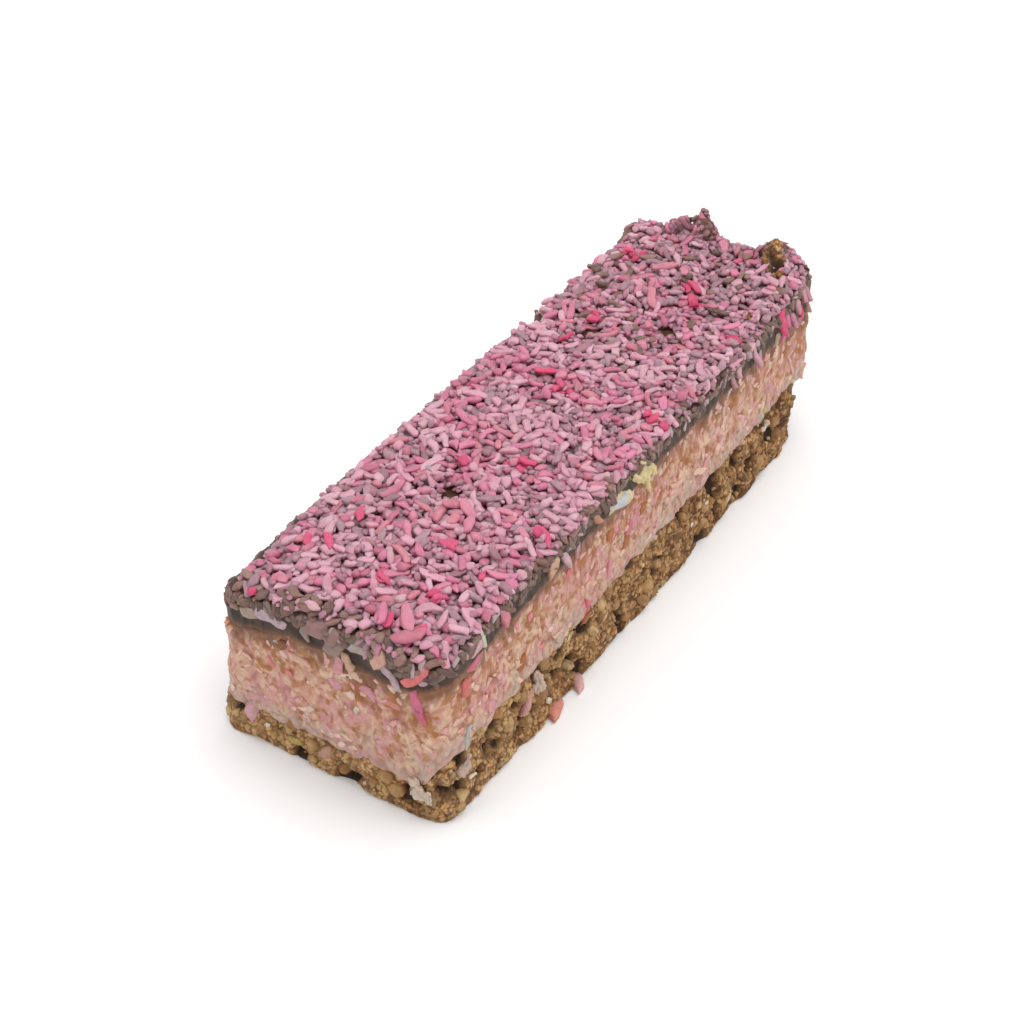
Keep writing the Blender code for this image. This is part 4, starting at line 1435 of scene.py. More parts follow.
class CHERRYSLICE_OT_coconut(bpy.types.Operator):
    """Strew dyed coconut over the chocolate"""

    bl_idname = "cherry_slice.coconut"
    bl_label = "Strewn coconut"
    bl_options = {"REGISTER", "UNDO"}

    def execute(self, context):
        settings = context.scene.cherry_slice
        coconut = settings.coconut
        rng = np.random.default_rng(SEED)
        low, high = (np.array(corner)[:2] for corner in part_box("chocolate_topping"))
        pile = Pile([tree_named("poured_chocolate"), tree_named("broken_crust")], low, high)
        kinds = {name: Scatter() for name in ("pale", "rose", "hot", "mauve", "coated", "fines")}
        for index in range(coconut.grains):
            layer = index / coconut.grains
            tries = rng.uniform(low, high, (TRIES, 2))
            yaw, size, lot = rng.uniform(0, math.pi), grain_size(rng, coconut), rng.random()
            depths = [pile.depth(plan) for plan in tries]
            if np.isnan(depths).all():
                continue
            plan = tries[np.nanargmin(depths)]
            sparse = SPARSE_SHARE * smooth((plan[0] - SPARSE_START) / SPARSE_WIDTH)
            sparse *= layer > SPARSE_LAYER
            if near_any(plan, BARE_SPOTS, BARE_REACH) and lot < BARE_SHARE or lot < sparse:
                continue
            if pile.full(plan):
                continue
            sink = between(*GRAIN_SINKS, smooth(layer * SINK_PACE))
            spot = pile.drop(plan, size, yaw, sink)
            if spot is not None:
                kind = self.kind_at(plan, layer, coconut, rng, (low, high))
                kinds[kind].put(grain(rng, size), *spot)
        self.fill_gaps(pile, kinds["fines"], coconut, rng, (low, high))
        for spot in HOT_SPOTS:
            for _ in range(HOT_GRAINS):
                plan = np.array(spot) * MM + rng.normal(0, HOT_STRAY, 2) * MM
                size = grain_size(rng, coconut, HOT_SCALE)
                found = pile.drop(plan, size, rng.uniform(0, math.pi))
                if found is not None:
                    kinds["hot"].put(grain(rng, size), *found)
        for plan, size, yaw in LARGE_FLAKES:
            size = np.array(size) * MM
            found = pile.drop(np.array(plan) * MM, size, yaw)
            if found is not None:
                kinds["rose"].put(rod(rng, size, FLAKE_TAPERS), *found)
        tints = {
            "pale": tints_of(coconut.pale, "#c78e9e #cfa4ae #bf8a99 #c8a0a5"),
            "rose": tints_of(coconut.rose, "#bc6e88 #cb8494 #b2687c #c67f89"),
            "hot": tints_of(coconut.hot, "#c55877 #be3b61 #cc5579"),
            "mauve": tints_of(coconut.mauve, "#98747d #ad8c94 #8e6b71 #a87b83"),
            "coated": tints_of(coconut.coated, "#896a60 #5c443c #92756a #79564d"),
            "fines": tints_of(coconut.mauve, "#b5788a #9a6f7b #c490a0 #967479"),
        }
        for kind, scatter in kinds.items():
            material = coconut_material(f"Dyed coconut {kind}", tints[kind])
            scatter.build(f"coconut_{kind}", material, "coconut")
        return {"FINISHED"}

    @staticmethod
    def fill_gaps(pile, fines, coconut, rng, box):
        """Small broken bits that settled in the lowest gaps."""
        for _ in range(coconut.fines):
            tries = rng.uniform(*box, (FINES_TRIES, 2))
            depths = [pile.depth(plan) for plan in tries]
            size = np.array(FINES_SIZE) * MM * rng.uniform(*FINES_SCALES)
            yaw = rng.uniform(0, math.pi)
            if np.isnan(depths).all():
                continue
            plan = tries[np.nanargmin(depths)]
            if near_any(plan, BARE_SPOTS, BARE_REACH / 2) or pile.full(plan):
                continue
            found = pile.drop(plan, size, yaw)
            if found is not None:
                fines.put(chip(rng, size), *found)

    @staticmethod
    def kind_at(plan, layer, coconut, rng, box):
        """Which dye or coating a grain took.

        Chocolate coats the grains along the cut edges and soaks the lowest ones.  The dye is
        uneven, and pooled in a few spots.
        """
        low, high = box
        place = Vector((*plan, 0.0))
        stray = noise.noise(place / STRIP_SPACING) * STRIP_WANDER
        lot = rng.random()
        for away, width, strip_kinds in (
            (plan[0] - low[0], FRONT_COATED, FRONT_KINDS),
            (plan[1] - low[1], RIGHT_COATED, RIGHT_KINDS),
            (high[1] - plan[1], LEFT_COATED, LEFT_KINDS),
        ):
            if away < width + stray:
                return next(kind for most, kind in strip_kinds if lot < most)
        far = smooth(plan[0] / SPARSE_START - 0.5) * FAR_SOAKED
        if lot < coconut.soaked_share * (1 - smooth(layer * SOAK_PACE)) + LEAST_SOAKED + far:
            return "coated" if lot < far * FAR_COATED else "mauve"
        pooled = near_any(plan, HOT_SPOTS, HOT_REACH)
        if pooled and rng.random() < POOLED_SHARE or rng.random() < HOT_SHARE:
            return "hot"
        rosy = ROSE_SHARE + noise.noise(place / COLOUR_PATCH)
        return "rose" if rng.random() < rosy else "pale"


# Coconut in the chocolate's walls
DUSTY_SHARE = 0.13  # of the grains: faded, and hardly coated
FACING = 0.5  # a wall faces an end or a side when its direction has more of it than this
LOWEST_TURNS = (0.0, -0.5)  # radians up the turn of the rim: elsewhere, and at the neat end
HIGHEST_TURNS = (1.1, 1.5)  # elsewhere, and on the left
SET_SCALES, NEAT_SCALE = (0.6, 0.9), 0.25  # sizes, and how much larger at the neat end
SET_SINKS, LEFT_SINK = (0.1, 0.45), 0.15  # of a grain's thickness, and how much deeper on the left

# Shreds and cherry bits in the filling: shares of the way up, sizes, and how deep they lie
SHRED_SPANS = ((0.03, 0.97), (0.45, 0.95), (0.12, 0.4))
CHERRY_SPANS = ((0.12, 0.9), (0.5, 1.1), (0.2, 0.42))
TILT_STRAY, ROLL_STRAY = 0.15, 1.1  # how far they stray from flat in the face, and from upright

# Loose crumbs and flecks of coconut in the base
CRUMB_LEAST, CRUMB_MORE = 0.3, 1.15  # radii in mm, most of them near the least
CRUMB_SINKS, CRUMB_FOOT = (0.1, 0.6), 1.1  # into the wall, and clear of the floor, in radii
CRUMB_ROLLS = (0, 3)  # radians, nearly half a turn
FLECK_RISES, FLECK_SCALES, FLECK_SINK = (0.15, 1.0), (0.4, 0.75), 0.25


class CHERRYSLICE_OT_rim_coconut(bpy.types.Operator):
    """Set chocolate-coated coconut into the chocolate's walls"""

    bl_idname = "cherry_slice.rim_coconut"
    bl_label = "Coated coconut in the walls"
    bl_options = {"REGISTER", "UNDO"}

    def execute(self, context):
        settings = context.scene.cherry_slice
        rng = np.random.default_rng(SEED + 1)
        wall = wall_of("chocolate_topping")
        tree = tree_named("poured_chocolate")
        radii, coated_count = rim_radii(), settings.chocolate.coated
        coated, dusty = Scatter(), Scatter()
        for index in range(coated_count):
            column = int((index + rng.random()) * len(wall.points) / coated_count)
            column %= len(wall.points)
            normal = wall.facing(column)
            neat_end, left = normal[0] < -FACING, normal[1] > FACING
            turn = rng.uniform(LOWEST_TURNS[int(neat_end)], HIGHEST_TURNS[int(left)])
            centre = wall.ring(1.0)[column] - normal * radii[column]
            way = normal * math.cos(turn) + np.array((0, 0, 1.0)) * math.sin(turn)
            found = landed(tree, centre + way * RAY_START, -way)
            if found is None:
                continue
            spot, facing = found
            scale = rng.uniform(SET_SCALES[0], SET_SCALES[1] + NEAT_SCALE * neat_end)
            size = grain_size(rng, settings.coconut, scale)
            sink = rng.uniform(*SET_SINKS) + LEFT_SINK * left
            target = dusty if rng.random() < DUSTY_SHARE else coated
            target.put(
                grain(rng, size), spot - facing * size[2] * sink,
                *frame_on(facing, rng.uniform(0, math.pi)),
            )
        browns = tints_of(settings.coconut.coated, "#573f36 #7c6055 #664b41 #886c61 #6d5c4d")
        greys = tints_of(settings.coconut.mauve, "#a68b8e #b0979a #8d7276")
        for scatter, name, tints, words in (
            (coated, "coconut_in_rim", browns, "Chocolate-coated coconut"),
            (dusty, "coconut_dusty", greys, "Faded dyed coconut"),
        ):
            scatter.build(name, coconut_material(words, tints), "coconut")
        return {"FINISHED"}


class CHERRYSLICE_OT_filling_bits(bpy.types.Operator):
    """Lay shreds of coconut and bits of cherry in the filling's cut faces"""

    bl_idname = "cherry_slice.filling_bits"
    bl_label = "Shreds and cherry bits"
    bl_options = {"REGISTER", "UNDO"}

    def execute(self, context):
        settings = context.scene.cherry_slice
        rng = np.random.default_rng(SEED + 2)
        filling = settings.filling
        shreds = self.laid(rng, settings, filling.shreds, *SHRED_SPANS)
        cherries = self.laid(rng, settings, filling.cherries, *CHERRY_SPANS)
        tints = tints_of(filling.peach, "#d4ad98 #c98f86 #cf9d97 #bf8468 #d8bba8 #c29378")
        shreds.build("filling_shreds", coconut_material("Moist coconut", tints, 0.6), "filling")
        tints = tints_of(filling.cherry, "#c0786a #d57f8a")
        cherries.build("cherry_bits", coconut_material("Chopped cherry", tints, 0.7), "filling")
        return {"FINISHED"}

    @staticmethod
    def laid(rng, settings, number_of, rises, scales, sinks):
        """Bits laid in the cut faces of the filling, mostly drawn downwards by the knife."""
        wall = wall_of("coconut_filling")
        tree = tree_named("coconut_cherry_filling")
        scatter = Scatter()
        for _ in range(number_of):
            column = rng.integers(len(wall.points))
            found = wall_spot(tree, column, wall.height(rng.uniform(*rises))[column])
            if found is None:
                continue
            facing = unit(wall.facing(column, rng.normal(0, TILT_STRAY)))
            size = grain_size(rng, settings.coconut, rng.uniform(*scales))
            scatter.put(
                grain(rng, size), found[0] - facing * size[2] * rng.uniform(*sinks),
                *frame_on(facing, rng.normal(math.pi / 2, ROLL_STRAY)),
            )
        return scatter


class CHERRYSLICE_OT_crumbs(bpy.types.Operator):
    """Set loose crumbs and flecks of coconut into the base's walls"""

    bl_idname = "cherry_slice.crumbs"
    bl_label = "Crumbs and flecks"
    bl_options = {"REGISTER", "UNDO"}

    def execute(self, context):
        settings = context.scene.cherry_slice
        rng = np.random.default_rng(SEED + 3)
        wall = wall_of("biscuit_base")
        tree = tree_named("biscuit_crumb_base")
        crumbs, flecks = Scatter(), Scatter()
        for _ in range(settings.biscuit.crumbs):
            column = rng.integers(len(wall.points))
            radius = (CRUMB_LEAST + CRUMB_MORE * rng.random() ** 3) * MM
            found = wall_spot(tree, column, rng.uniform(radius, wall.high[column]))
            if found is not None and holes_at(found[0][None])[0] < HOLE_CLEAR:
                facing = wall.facing(column)
                place = found[0] - facing * radius * rng.uniform(*CRUMB_SINKS)
                place[2] = max(place[2], radius * CRUMB_FOOT)
                crumbs.put(
                    crumb(rng, radius), place, *frame_on(facing, rng.uniform(*CRUMB_ROLLS))
                )
        for _ in range(settings.biscuit.flecks):
            column = rng.integers(len(wall.points))
            found = wall_spot(tree, column, wall.height(rng.uniform(*FLECK_RISES))[column])
            if found is not None:
                facing = wall.facing(column)
                size = grain_size(rng, settings.coconut, rng.uniform(*FLECK_SCALES))
                flecks.put(
                    grain(rng, size), found[0] - facing * size[2] * FLECK_SINK,
                    *frame_on(facing, rng.uniform(*CRUMB_ROLLS)),
                )
        biscuit = settings.biscuit
        tints = tints_of(biscuit.middle, "#7d582f #b08a5a #8f683c #c0a070 #64431f")
        material = coconut_material("Loose biscuit crumb", tints, 0.0)
        crumbs.build("loose_crumbs", material, "biscuit")
        tints = tints_of(biscuit.light, "#cfc0aa #c9b39d #d8cdb8 #c49e86")
        flecks.build("coconut_flecks", coconut_material("Plain coconut", tints), "coconut")
        return {"FINISHED"}


# The ragged end: balls strung along its crest, as places and radii in mm
CRUST = (
    ((58.4, 16.8, 30.4, 1.6), (59.8, 15.6, 30.8, 1.4), (60.2, 13.2, 30.7, 1.4),
     (60.3, 10.8, 31.0, 1.6), (60.5, 9.3, 32.4, 1.5), (60.7, 8.0, 33.8, 1.1),
     (60.8, 7.2, 34.6, 0.9)),
    ((60.8, 7.2, 34.9, 0.7), (60.8, 6.0, 35.6, 0.5), (60.8, 4.8, 36.1, 0.6)),
    ((60.0, 6.1, 31.6, 1.8), (60.0, 3.4, 31.5, 2.4), (60.3, 3.3, 33.6, 2.0),
     (60.6, 3.4, 35.6, 1.45), (60.8, 3.5, 37.1, 1.0), (60.9, 3.55, 38.1, 0.5)),
    ((60.0, 1.4, 32.0, 1.6), (60.4, 1.9, 34.2, 1.4), (60.6, 2.5, 36.2, 0.9)),
    ((60.0, 1.0, 31.8, 1.6), (60.2, -3.0, 31.9, 1.5), (60.2, -5.6, 31.6, 1.5),
     (60.2, -8.0, 32.2, 1.6)),
    ((60.0, -8.6, 32.2, 1.6), (60.2, -10.2, 34.3, 1.5), (60.3, -11.5, 35.7, 1.5),
     (60.2, -13.6, 34.9, 1.6), (60.0, -16.2, 33.0, 1.7), (59.4, -17.5, 31.3, 1.6)),
)
CRUST_SPACING, CRUST_VOXEL = 0.6, 0.32 * MM
CRUST_LUMP, CRUST_LUMP_HEIGHT = 1.5 * MM, 0.5 * MM
CREST_HEIGHT = 35 * MM  # above this the crust is smoother, and only small grains cling to it
CREST_SMOOTHING, CREST_EASE = 0.6, 2 * MM
CRUST_GRAINS = 210
OVERHANG = -0.6  # on faces that look down more than this no grain clings
CLING_SCALES, CREST_SCALE = (0.6, 1.0), 0.5  # sizes of clinging grains, and those on the crest
CLING_SINK, CLING_ROLL = 0.1, 0.6  # of a grain's thickness, and how far it strays from upright
ROSY_SHARE = 0.4  # the others are dull

# Lumps of biscuit stuck on top, clots of white coconut low on the walls, and a toasted flake on
# the right rim, strung in the same way
STUCK_LUMPS = (
    ((60.0, -11.6, 36.3, 1.2), (58.8, -12.0, 35.6, 1.7), (57.4, -12.7, 35.1, 2.0),
     (56.0, -13.6, 34.8, 2.0), (54.7, -14.4, 34.4, 1.8), (53.6, -15.0, 34.0, 1.5)),
    ((41.2, -16.2, 33.6, 0.7), (40.2, -16.6, 33.5, 0.7)),
)
CLOTS = (
    ((-61.7, -15.2, 8.2, 0.8), (-61.8, -16.4, 7.2, 0.9), (-61.9, -17.6, 6.4, 0.9),
     (-61.8, -18.4, 5.2, 0.6)),
    ((-61.8, -15.4, 6.9, 0.7), (-61.8, -16.4, 5.6, 0.8), (-61.8, -15.0, 5.4, 0.5)),
    ((-58.0, -21.6, 10.6, 0.9), (-56.6, -21.6, 10.9, 0.8), (-55.6, -21.4, 12.0, 0.5)),
    ((-36.6, -21.4, 10.0, 0.8), (-35.4, -21.3, 9.2, 0.9), (-35.8, -21.2, 11.4, 0.9),
     (-36.4, -21.0, 12.6, 0.6)),
    ((-30.0, -20.7, 14.8, 0.8), (-29.0, -20.6, 15.6, 0.6)),
    ((40.9, -21.6, 12.6, 0.6), (40.0, -21.6, 11.8, 0.5)),
)
GOLDEN_FLAKE = (
    ((-2.8, -19.7, 31.1, 0.8), (-1.6, -20.1, 30.0, 1.1), (-0.4, -20.3, 28.7, 1.0),
     (0.5, -20.4, 28.0, 0.6)),
    ((-5.9, -19.9, 30.2, 0.8), (-4.4, -20.1, 29.5, 1.0), (-2.6, -20.2, 29.0, 1.2)),
    ((-2.6, -20.3, 28.4, 0.9), (-1.9, -20.5, 26.6, 0.7), (-1.4, -20.6, 25.3, 0.4)),
)
LUMP_SPACING, LUMP_VOXEL = 0.5, 0.22 * MM
CLOT_LUMP, CLOT_LUMP_HEIGHT = 0.9 * MM, 0.65 * MM
CLOT_LEVEL, CLOT_TONE = 0.3, 0.4  # what lies level with the melted balls, and how lumps differ

# Bits on the right wall: place along the slice, height and three sizes in mm, roll, and tint
RIGHT_BITS = (
    (-10.4, 29.1, 6.6, 2.9, 0.9, -0.17, "#c6b98e"), (-11.0, 29.0, 5.2, 1.6, 1.5, -0.17, "#bdbbb9"),
    (-27.5, 29.9, 3.6, 1.3, 1.0, 1.6, "#bf9ba2"), (-23.3, 27.9, 3.4, 1.0, 0.9, 1.4, "#b58b93"),
    (-51.1, 30.1, 5.0, 1.4, 1.0, 0.33, "#bd979a"), (-50.1, 32.0, 2.4, 0.9, 0.8, 1.4, "#bcb7a2"),
    (-44.1, 30.8, 2.8, 1.8, 1.2, 1.5, "#c47984"), (-31.1, 32.6, 3.6, 1.6, 1.0, 0.4, "#b8967a"),
    (-17.5, 31.4, 2.4, 1.4, 1.0, 1.7, "#b07e68"), (35.6, 31.0, 5.2, 1.4, 1.2, 1.5, "#c2949e"),
    (37.2, 29.0, 3.0, 1.2, 1.0, 1.3, "#b58d92"), (27.5, 29.6, 3.4, 1.1, 1.0, 1.5, "#a98186"),
    (29.3, 31.5, 2.6, 1.5, 1.1, 1.2, "#c29499"), (46.1, 30.6, 4.4, 1.7, 1.3, 1.2, "#cc4a70"),
    (47.8, 31.4, 3.2, 1.3, 1.1, 1.4, "#c46a86"), (53.5, 29.0, 2.8, 1.3, 1.1, 1.6, "#c54566"),
    (48.3, 26.8, 2.6, 1.7, 1.2, 0.6, "#c46383"), (50.3, 29.4, 4.2, 1.4, 1.1, 1.7, "#b87f8e"),
    (52.0, 33.0, 3.4, 1.4, 1.2, 1.5, "#bb8790"), (56.4, 31.8, 4.6, 1.6, 1.2, 1.5, "#b4838c"),
    (55.0, 34.2, 3.6, 1.6, 1.2, 1.4, "#c08a95"), (54.6, 27.4, 4.4, 1.5, 1.1, 1.5, "#ab7a80"),
    (57.6, 28.6, 3.8, 1.5, 1.1, 1.6, "#a2766a"), (44.2, 28.0, 2.6, 1.6, 1.1, 1.2, "#a88a72"),
    (41.8, 14.2, 1.3, 1.1, 0.9, 0.0, "#c6a24c"), (40.8, 13.2, 2.2, 1.6, 1.0, 0.5, "#aca79d"),
    (-13.8, 17.0, 4.0, 1.0, 0.9, 1.2, "#c87f8a"), (-20.9, 14.8, 2.6, 1.3, 0.9, 1.3, "#c45c70"),
    (-7.4, 21.4, 2.4, 1.4, 0.9, 0.9, "#bd6874"), (-54.6, 24.2, 3.4, 2.2, 0.9, 1.5, "#c0675e"),
    (-51.9, 27.0, 3.0, 2.1, 0.9, 0.7, "#c46a7e"), (-38.4, 8.4, 4.2, 1.8, 1.1, 1.2, "#bd8b82"),
    (-39.8, 17.2, 3.0, 2.4, 0.7, 0.4, "#9a5c2c"), (-21.1, 12.4, 2.0, 1.6, 0.7, 0.9, "#9c5a30"),
    (-8.3, 19.0, 2.8, 2.2, 0.7, 1.2, "#9c602c"), (-13.3, 24.1, 2.0, 1.7, 0.7, 0.2, "#a2652f"),
    (-3.0, 22.5, 2.2, 1.8, 0.7, 1.2, "#a2652f"), (-55.3, 15.0, 4.2, 0.8, 0.7, 1.3, "#a3a6a4"),
)
# The same on the neat end, with their place across it
FRONT_BITS = (
    (0.6, 31.0, 4.0, 2.8, 2.0, 0.2, "#93706a"), (-2.0, 30.6, 2.8, 2.4, 1.6, 1.0, "#8b6c63"),
    (9.5, 28.6, 5.8, 1.7, 1.2, -0.08, "#b09aa0"), (13.2, 28.0, 3.0, 2.0, 1.2, 0.3, "#9d8578"),
    (2.9, 29.9, 3.2, 1.7, 1.1, 1.4, "#8d7a70"), (-2.4, 29.0, 3.8, 2.8, 1.3, 1.2, "#8d776b"),
    (-6.5, 30.6, 4.4, 1.3, 1.0, 0.1, "#a5968f"), (-10.0, 31.2, 3.0, 2.3, 1.6, 0.8, "#c49887"),
    (-12.3, 27.7, 4.8, 1.6, 1.2, -0.87, "#ae9499"), (-16.9, 31.4, 5.0, 1.5, 1.1, 0.85, "#cb6d6a"),
    (-4.6, 27.0, 3.2, 1.7, 1.1, -1.1, "#b8967f"), (-5.2, 24.3, 2.8, 1.6, 1.0, -0.5, "#caad93"),
    (-2.2, 24.9, 4.6, 1.7, 0.9, 1.4, "#c58b8e"), (-1.4, 20.3, 2.4, 2.2, 1.0, 0.4, "#c98d96"),
    (-7.8, 22.1, 3.0, 1.7, 1.0, -0.5, "#bd7f89"), (8.3, 23.6, 2.4, 1.8, 0.8, 0.7, "#80502b"),
    (6.9, 23.5, 2.2, 1.4, 0.8, 1.2, "#b67069"), (5.2, 22.0, 4.0, 1.5, 0.9, -0.05, "#cca08e"),
    (15.4, 6.2, 2.8, 2.4, 1.4, 1.2, "#c39497"), (0.9, 5.0, 2.4, 1.8, 1.2, 0.6, "#a9826a"),
    (7.3, 4.0, 2.8, 1.6, 1.0, 0.1, "#a08b4a"), (-18.2, 22.6, 5.2, 1.2, 0.8, 1.9, "#b9596e"),
    (-16.2, 24.8, 5.0, 1.7, 0.9, 1.75, "#c1627e"),
)
BESIDE, BEFORE = -30, -80  # plan places in mm out beyond the right wall and the neat end
SIDE_SINK = 0.12  # of a bit's thickness, into what it lies on
LEAN_START, LEAN_EASE = 27.8 * MM, 2 * MM
RIM_LEAN = 0.55  # radians that bits above that height lean back on the rim
# Bits that touch the foot of the base on its right: plan point and size in mm, way, and tint
FOOT_BITS = (
    ((-24.0, -21.5), (4.0, 2.0, 1.6), 0.9, "#d0a49e"),
    ((-31.0, -21.3), (4.6, 2.4, 1.7), 0.35, "#cb8573"),
)


class CHERRYSLICE_OT_broken_end(bpy.types.Operator):
    """Raise the broken crust along the ragged end"""

    bl_idname = "cherry_slice.broken_end"
    bl_label = "Broken end"
    bl_options = {"REGISTER", "UNDO"}

    def execute(self, context):
        settings = context.scene.cherry_slice
        material = crust_material(settings.coconut, settings.chocolate)
        balls = along_lines(CRUST, CRUST_SPACING)
        crust = fused("broken_crust", balls, CRUST_VOXEL, material, "chocolate")
        points, _ = surface_of(crust)
        lumps = perlin(points, CRUST_LUMP) + 0.5 * perlin(points, CRUST_LUMP / 3, 7.0)
        lumps *= 1 - CREST_SMOOTHING * smooth((points[:, 2] - CREST_HEIGHT) / CREST_EASE)
        roughened(crust, lumps * CRUST_LUMP_HEIGHT)
        self.cling(crust, settings.coconut)
        return {"FINISHED"}

    @staticmethod
    def cling(crust, coconut):
        """Grains stuck in the crust, mostly pointing up it."""
        rng = np.random.default_rng(SEED + 4)
        points, normals = surface_of(crust)
        bare = points[:, 2] > chocolate_level().at(points[:, :2])
        spots = np.flatnonzero(bare & (normals[:, 2] > OVERHANG))
        clinging = {name: Scatter() for name in ("rosy", "dull")}
        for spot in rng.choice(spots, CRUST_GRAINS, replace=False):
            crest = points[spot][2] > CREST_HEIGHT
            scale = CREST_SCALE if crest else rng.uniform(*CLING_SCALES)
            size = grain_size(rng, coconut, scale)
            normal = unit(normals[spot])
            kind = "rosy" if rng.random() < ROSY_SHARE else "dull"
            clinging[kind].put(
                grain(rng, size), points[spot] - normal * size[2] * CLING_SINK,
                *frame_on(normal, rng.normal(math.pi / 2, CLING_ROLL)),
            )
        tints = {
            "rosy": tints_of(coconut.rose, "#a9707f #bd8a95"),
            "dull": tints_of(coconut.mauve, "#93695f #a0727a #85635a #a97d8a"),
        }
        for kind, scatter in clinging.items():
            material = coconut_material(f"Coconut in the crust {kind}", tints[kind])
            scatter.build(f"crust_coconut_{kind}", material, "coconut")


class CHERRYSLICE_OT_stuck_lumps(bpy.types.Operator):
    """Stick lumps of biscuit on top, white clots low down, and a toasted flake on the rim"""

    bl_idname = "cherry_slice.stuck_lumps"
    bl_label = "Stuck lumps"
    bl_options = {"REGISTER", "UNDO"}

    def execute(self, context):
        settings = context.scene.cherry_slice
        base = bpy.data.objects["biscuit_crumb_base"].data.materials[0]
        balls = along_lines(STUCK_LUMPS, LUMP_SPACING)
        biscuit = fused("stuck_biscuit", balls, LUMP_VOXEL, base, "biscuit")
        relief, tone, pit = crumb_relief(surface_of(biscuit)[0], settings.biscuit)
        roughened(biscuit, relief)
        # The pit attribute carries the painted shade of holes and of gaps between crumbs
        give(biscuit, tone=tone, pit=pit)
        tints = tints_of(settings.filling.milky, "#b5a28f #c4b5a4 #a8937f")
        white = coconut_material("Clotted white coconut", tints)
        tints = [hex_linear(code) for code in ("#b9a672", "#c6b68a", "#ab955d")]
        golden = coconut_material("Toasted coconut", tints)
        for name, lines, material in (
            ("white_clots", CLOTS, white), ("golden_flake", GOLDEN_FLAKE, golden)
        ):
            clot = fused(name, along_lines(lines, LUMP_SPACING), LUMP_VOXEL, material, "filling")
            points, _ = surface_of(clot)
            bent = points + perlin(points, CLOT_LUMP)[:, None] * CLOT_LUMP / 4
            near, own = cells(bent, CLOT_LUMP)
            roughened(clot, (CLOT_LEVEL - near + CLOT_TONE * own) * CLOT_LUMP_HEIGHT)
        return {"FINISHED"}


class CHERRYSLICE_OT_side_bits(bpy.types.Operator):
    """Lay the odd bits that stand out on the walls and at the foot"""

    bl_idname = "cherry_slice.side_bits"
    bl_label = "Odd bits"
    bl_options = {"REGISTER", "UNDO"}

    def execute(self, context):
        rng = np.random.default_rng(SEED + 5)
        names = ("biscuit_crumb_base", "coconut_cherry_filling", "poured_chocolate")
        trees = [tree_named(name) for name in names]
        wall = wall_of("chocolate_topping")
        bits, tints = Scatter(), []
        rows = [((along, BESIDE), *row) for along, *row in RIGHT_BITS]
        rows += [((BEFORE, across), *row) for across, *row in FRONT_BITS]
        for facing_point, height, *size, roll, code in rows:
            column = nearest_column(np.array(facing_point) * MM)
            height = min(height * MM, wall.high[column])
            found = [wall_spot(tree, column, height) for tree in trees]
            normal = wall.facing(column)
            spot = max((spot for spot, _ in filter(None, found)), key=lambda place: place @ normal)
            lean = RIM_LEAN * smooth((height - LEAN_START) / LEAN_EASE)
            normal = normal * math.cos(lean) + np.array((0, 0, math.sin(lean)))
            size = np.array(size) * MM
            bits.put(grain(rng, size), spot - normal * size[2] * SIDE_SINK, *frame_on(normal, roll))
            tints += [(*hex_linear(code), 1.0)] * len(bits.pieces[-1])
        for plan, size, yaw, code in FOOT_BITS:
            size = np.array(size) * MM
            directions = frame_on(np.array((0.0, 0.0, 1.0)), yaw)
            bits.put(grain(rng, size), np.array((*plan, 0)) * MM + (0, 0, size[2] / 2), *directions)
            tints += [(*hex_linear(code), 1.0)] * len(bits.pieces[-1])
        obj = bits.build("odd_bits", odd_material(), "coconut")
        layer = obj.data.attributes.new("tint", "FLOAT_COLOR", "POINT")
        layer.data.foreach_set("color", np.array(tints, np.float32).ravel())
        return {"FINISHED"}


# Stage

CAMERA_PLACE = (-226.6 * MM, -137.35 * MM, 225.96 * MM)
CAMERA_WAY = (0.6552, 0.4158, -0.6307)
CAMERA_LENS, CAMERA_SENSOR = 70.3, 36.0
CAMERA_CLIP = (0.01, 10)
FLOOR_HALF, FLOOR_STEPS = 1.4, 40
COVE_START, COVE_STEEPNESS = 0.7, 0.9  # where the floor starts to curve up, and how fast
LAMP_PLACE, LAMP_SIZE = (0.0, -0.2, 0.9), 0.8
SKY_TINT = "#fbfbff"


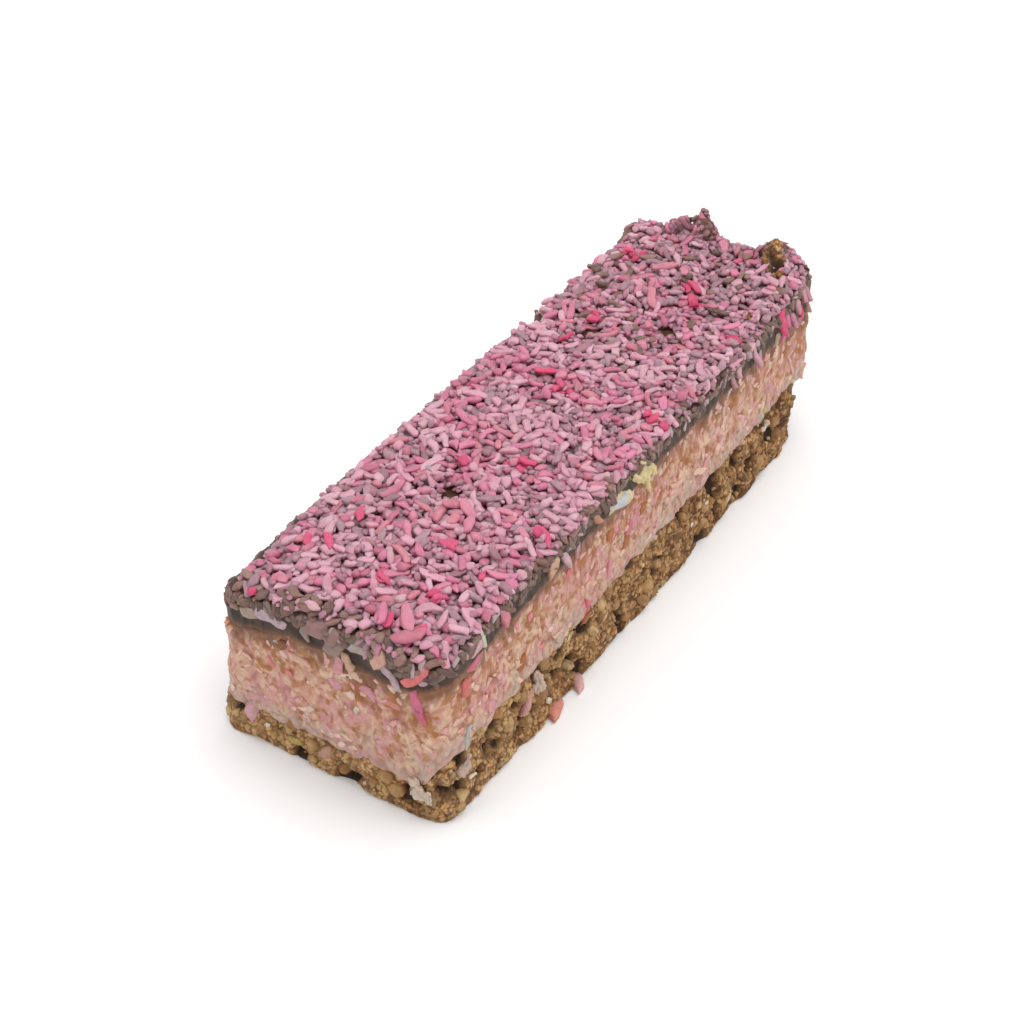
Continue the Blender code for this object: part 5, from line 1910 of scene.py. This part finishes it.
class CHERRYSLICE_OT_stage(bpy.types.Operator):
    """Set up the floor, the lamps and the camera"""

    bl_idname = "cherry_slice.stage"
    bl_label = "Floor, light and camera"
    bl_options = {"REGISTER", "UNDO"}

    def execute(self, context):
        scene = context.scene
        stage = scene.cherry_slice.stage
        bm = bmesh.new()
        bmesh.ops.create_grid(bm, x_segments=FLOOR_STEPS, y_segments=FLOOR_STEPS, size=FLOOR_HALF)
        for vert in bm.verts:
            beyond = max(0.0, math.hypot(vert.co.x, vert.co.y) - COVE_START)
            vert.co.z = COVE_STEEPNESS * beyond ** 2
        mesh = bpy.data.meshes.new("paper_sweep")
        bm.to_mesh(mesh)
        bm.free()
        mesh.shade_smooth()
        mesh.materials.append(paper_material(stage))
        floor = placed("paper_sweep", mesh)
        lamp = bpy.data.lights.new("softbox", "AREA")
        lamp.shape, lamp.size, lamp.energy = "DISK", LAMP_SIZE, stage.lamp_power
        softbox = placed("softbox", lamp)
        softbox.location = LAMP_PLACE
        softbox.rotation_euler = (-Vector(LAMP_PLACE)).to_track_quat("-Z", "Y").to_euler()
        world = bpy.data.worlds.new("white room")
        world.use_nodes = True
        background = world.node_tree.nodes["Background"]
        background.inputs["Color"].default_value = (*hex_linear(SKY_TINT), 1)
        background.inputs["Strength"].default_value = stage.sky
        scene.world = world
        lens = bpy.data.cameras.new("camera")
        lens.lens, lens.sensor_width = CAMERA_LENS, CAMERA_SENSOR
        lens.clip_start, lens.clip_end = CAMERA_CLIP
        scene.camera = placed("camera", lens)
        scene.camera.location = CAMERA_PLACE
        scene.camera.rotation_euler = Vector(CAMERA_WAY).to_track_quat("-Z", "Y").to_euler()
        scene.view_settings.view_transform = "Standard"
        return {"FINISHED"}


class VIEW3D_PT_cherry_slice(bpy.types.Panel):
    """Lists the operators that build the slice"""

    bl_label = "Cherry slice"
    bl_space_type = "VIEW_3D"
    bl_region_type = "UI"
    bl_category = "Cherry slice"

    def draw(self, context):
        for operator in OPERATORS:
            self.layout.operator(operator.bl_idname)


SETTINGS = (
    BiscuitSettings, FillingSettings, ChocolateSettings, CoconutSettings, StageSettings,
    SliceSettings,
)
OPERATORS = (
    CHERRYSLICE_OT_biscuit, CHERRYSLICE_OT_filling, CHERRYSLICE_OT_chocolate,
    CHERRYSLICE_OT_broken_end, CHERRYSLICE_OT_coconut, CHERRYSLICE_OT_rim_coconut,
    CHERRYSLICE_OT_filling_bits, CHERRYSLICE_OT_crumbs, CHERRYSLICE_OT_stuck_lumps,
    CHERRYSLICE_OT_side_bits, CHERRYSLICE_OT_stage,
)


def register():
    """Makes the settings, the operators and the panel known."""
    for cls in (*SETTINGS, *OPERATORS, VIEW3D_PT_cherry_slice):
        bpy.utils.register_class(cls)
    bpy.types.Scene.cherry_slice = bpy.props.PointerProperty(type=SliceSettings)


def unregister():
    """Takes them away again."""
    del bpy.types.Scene.cherry_slice
    for cls in reversed((*SETTINGS, *OPERATORS, VIEW3D_PT_cherry_slice)):
        bpy.utils.unregister_class(cls)


def main():
    """Builds the slice and its stage."""
    register()
    for operator in OPERATORS:
        getattr(bpy.ops.cherry_slice, operator.bl_idname.split(".")[1])()


if __name__ == "__main__":
    main()
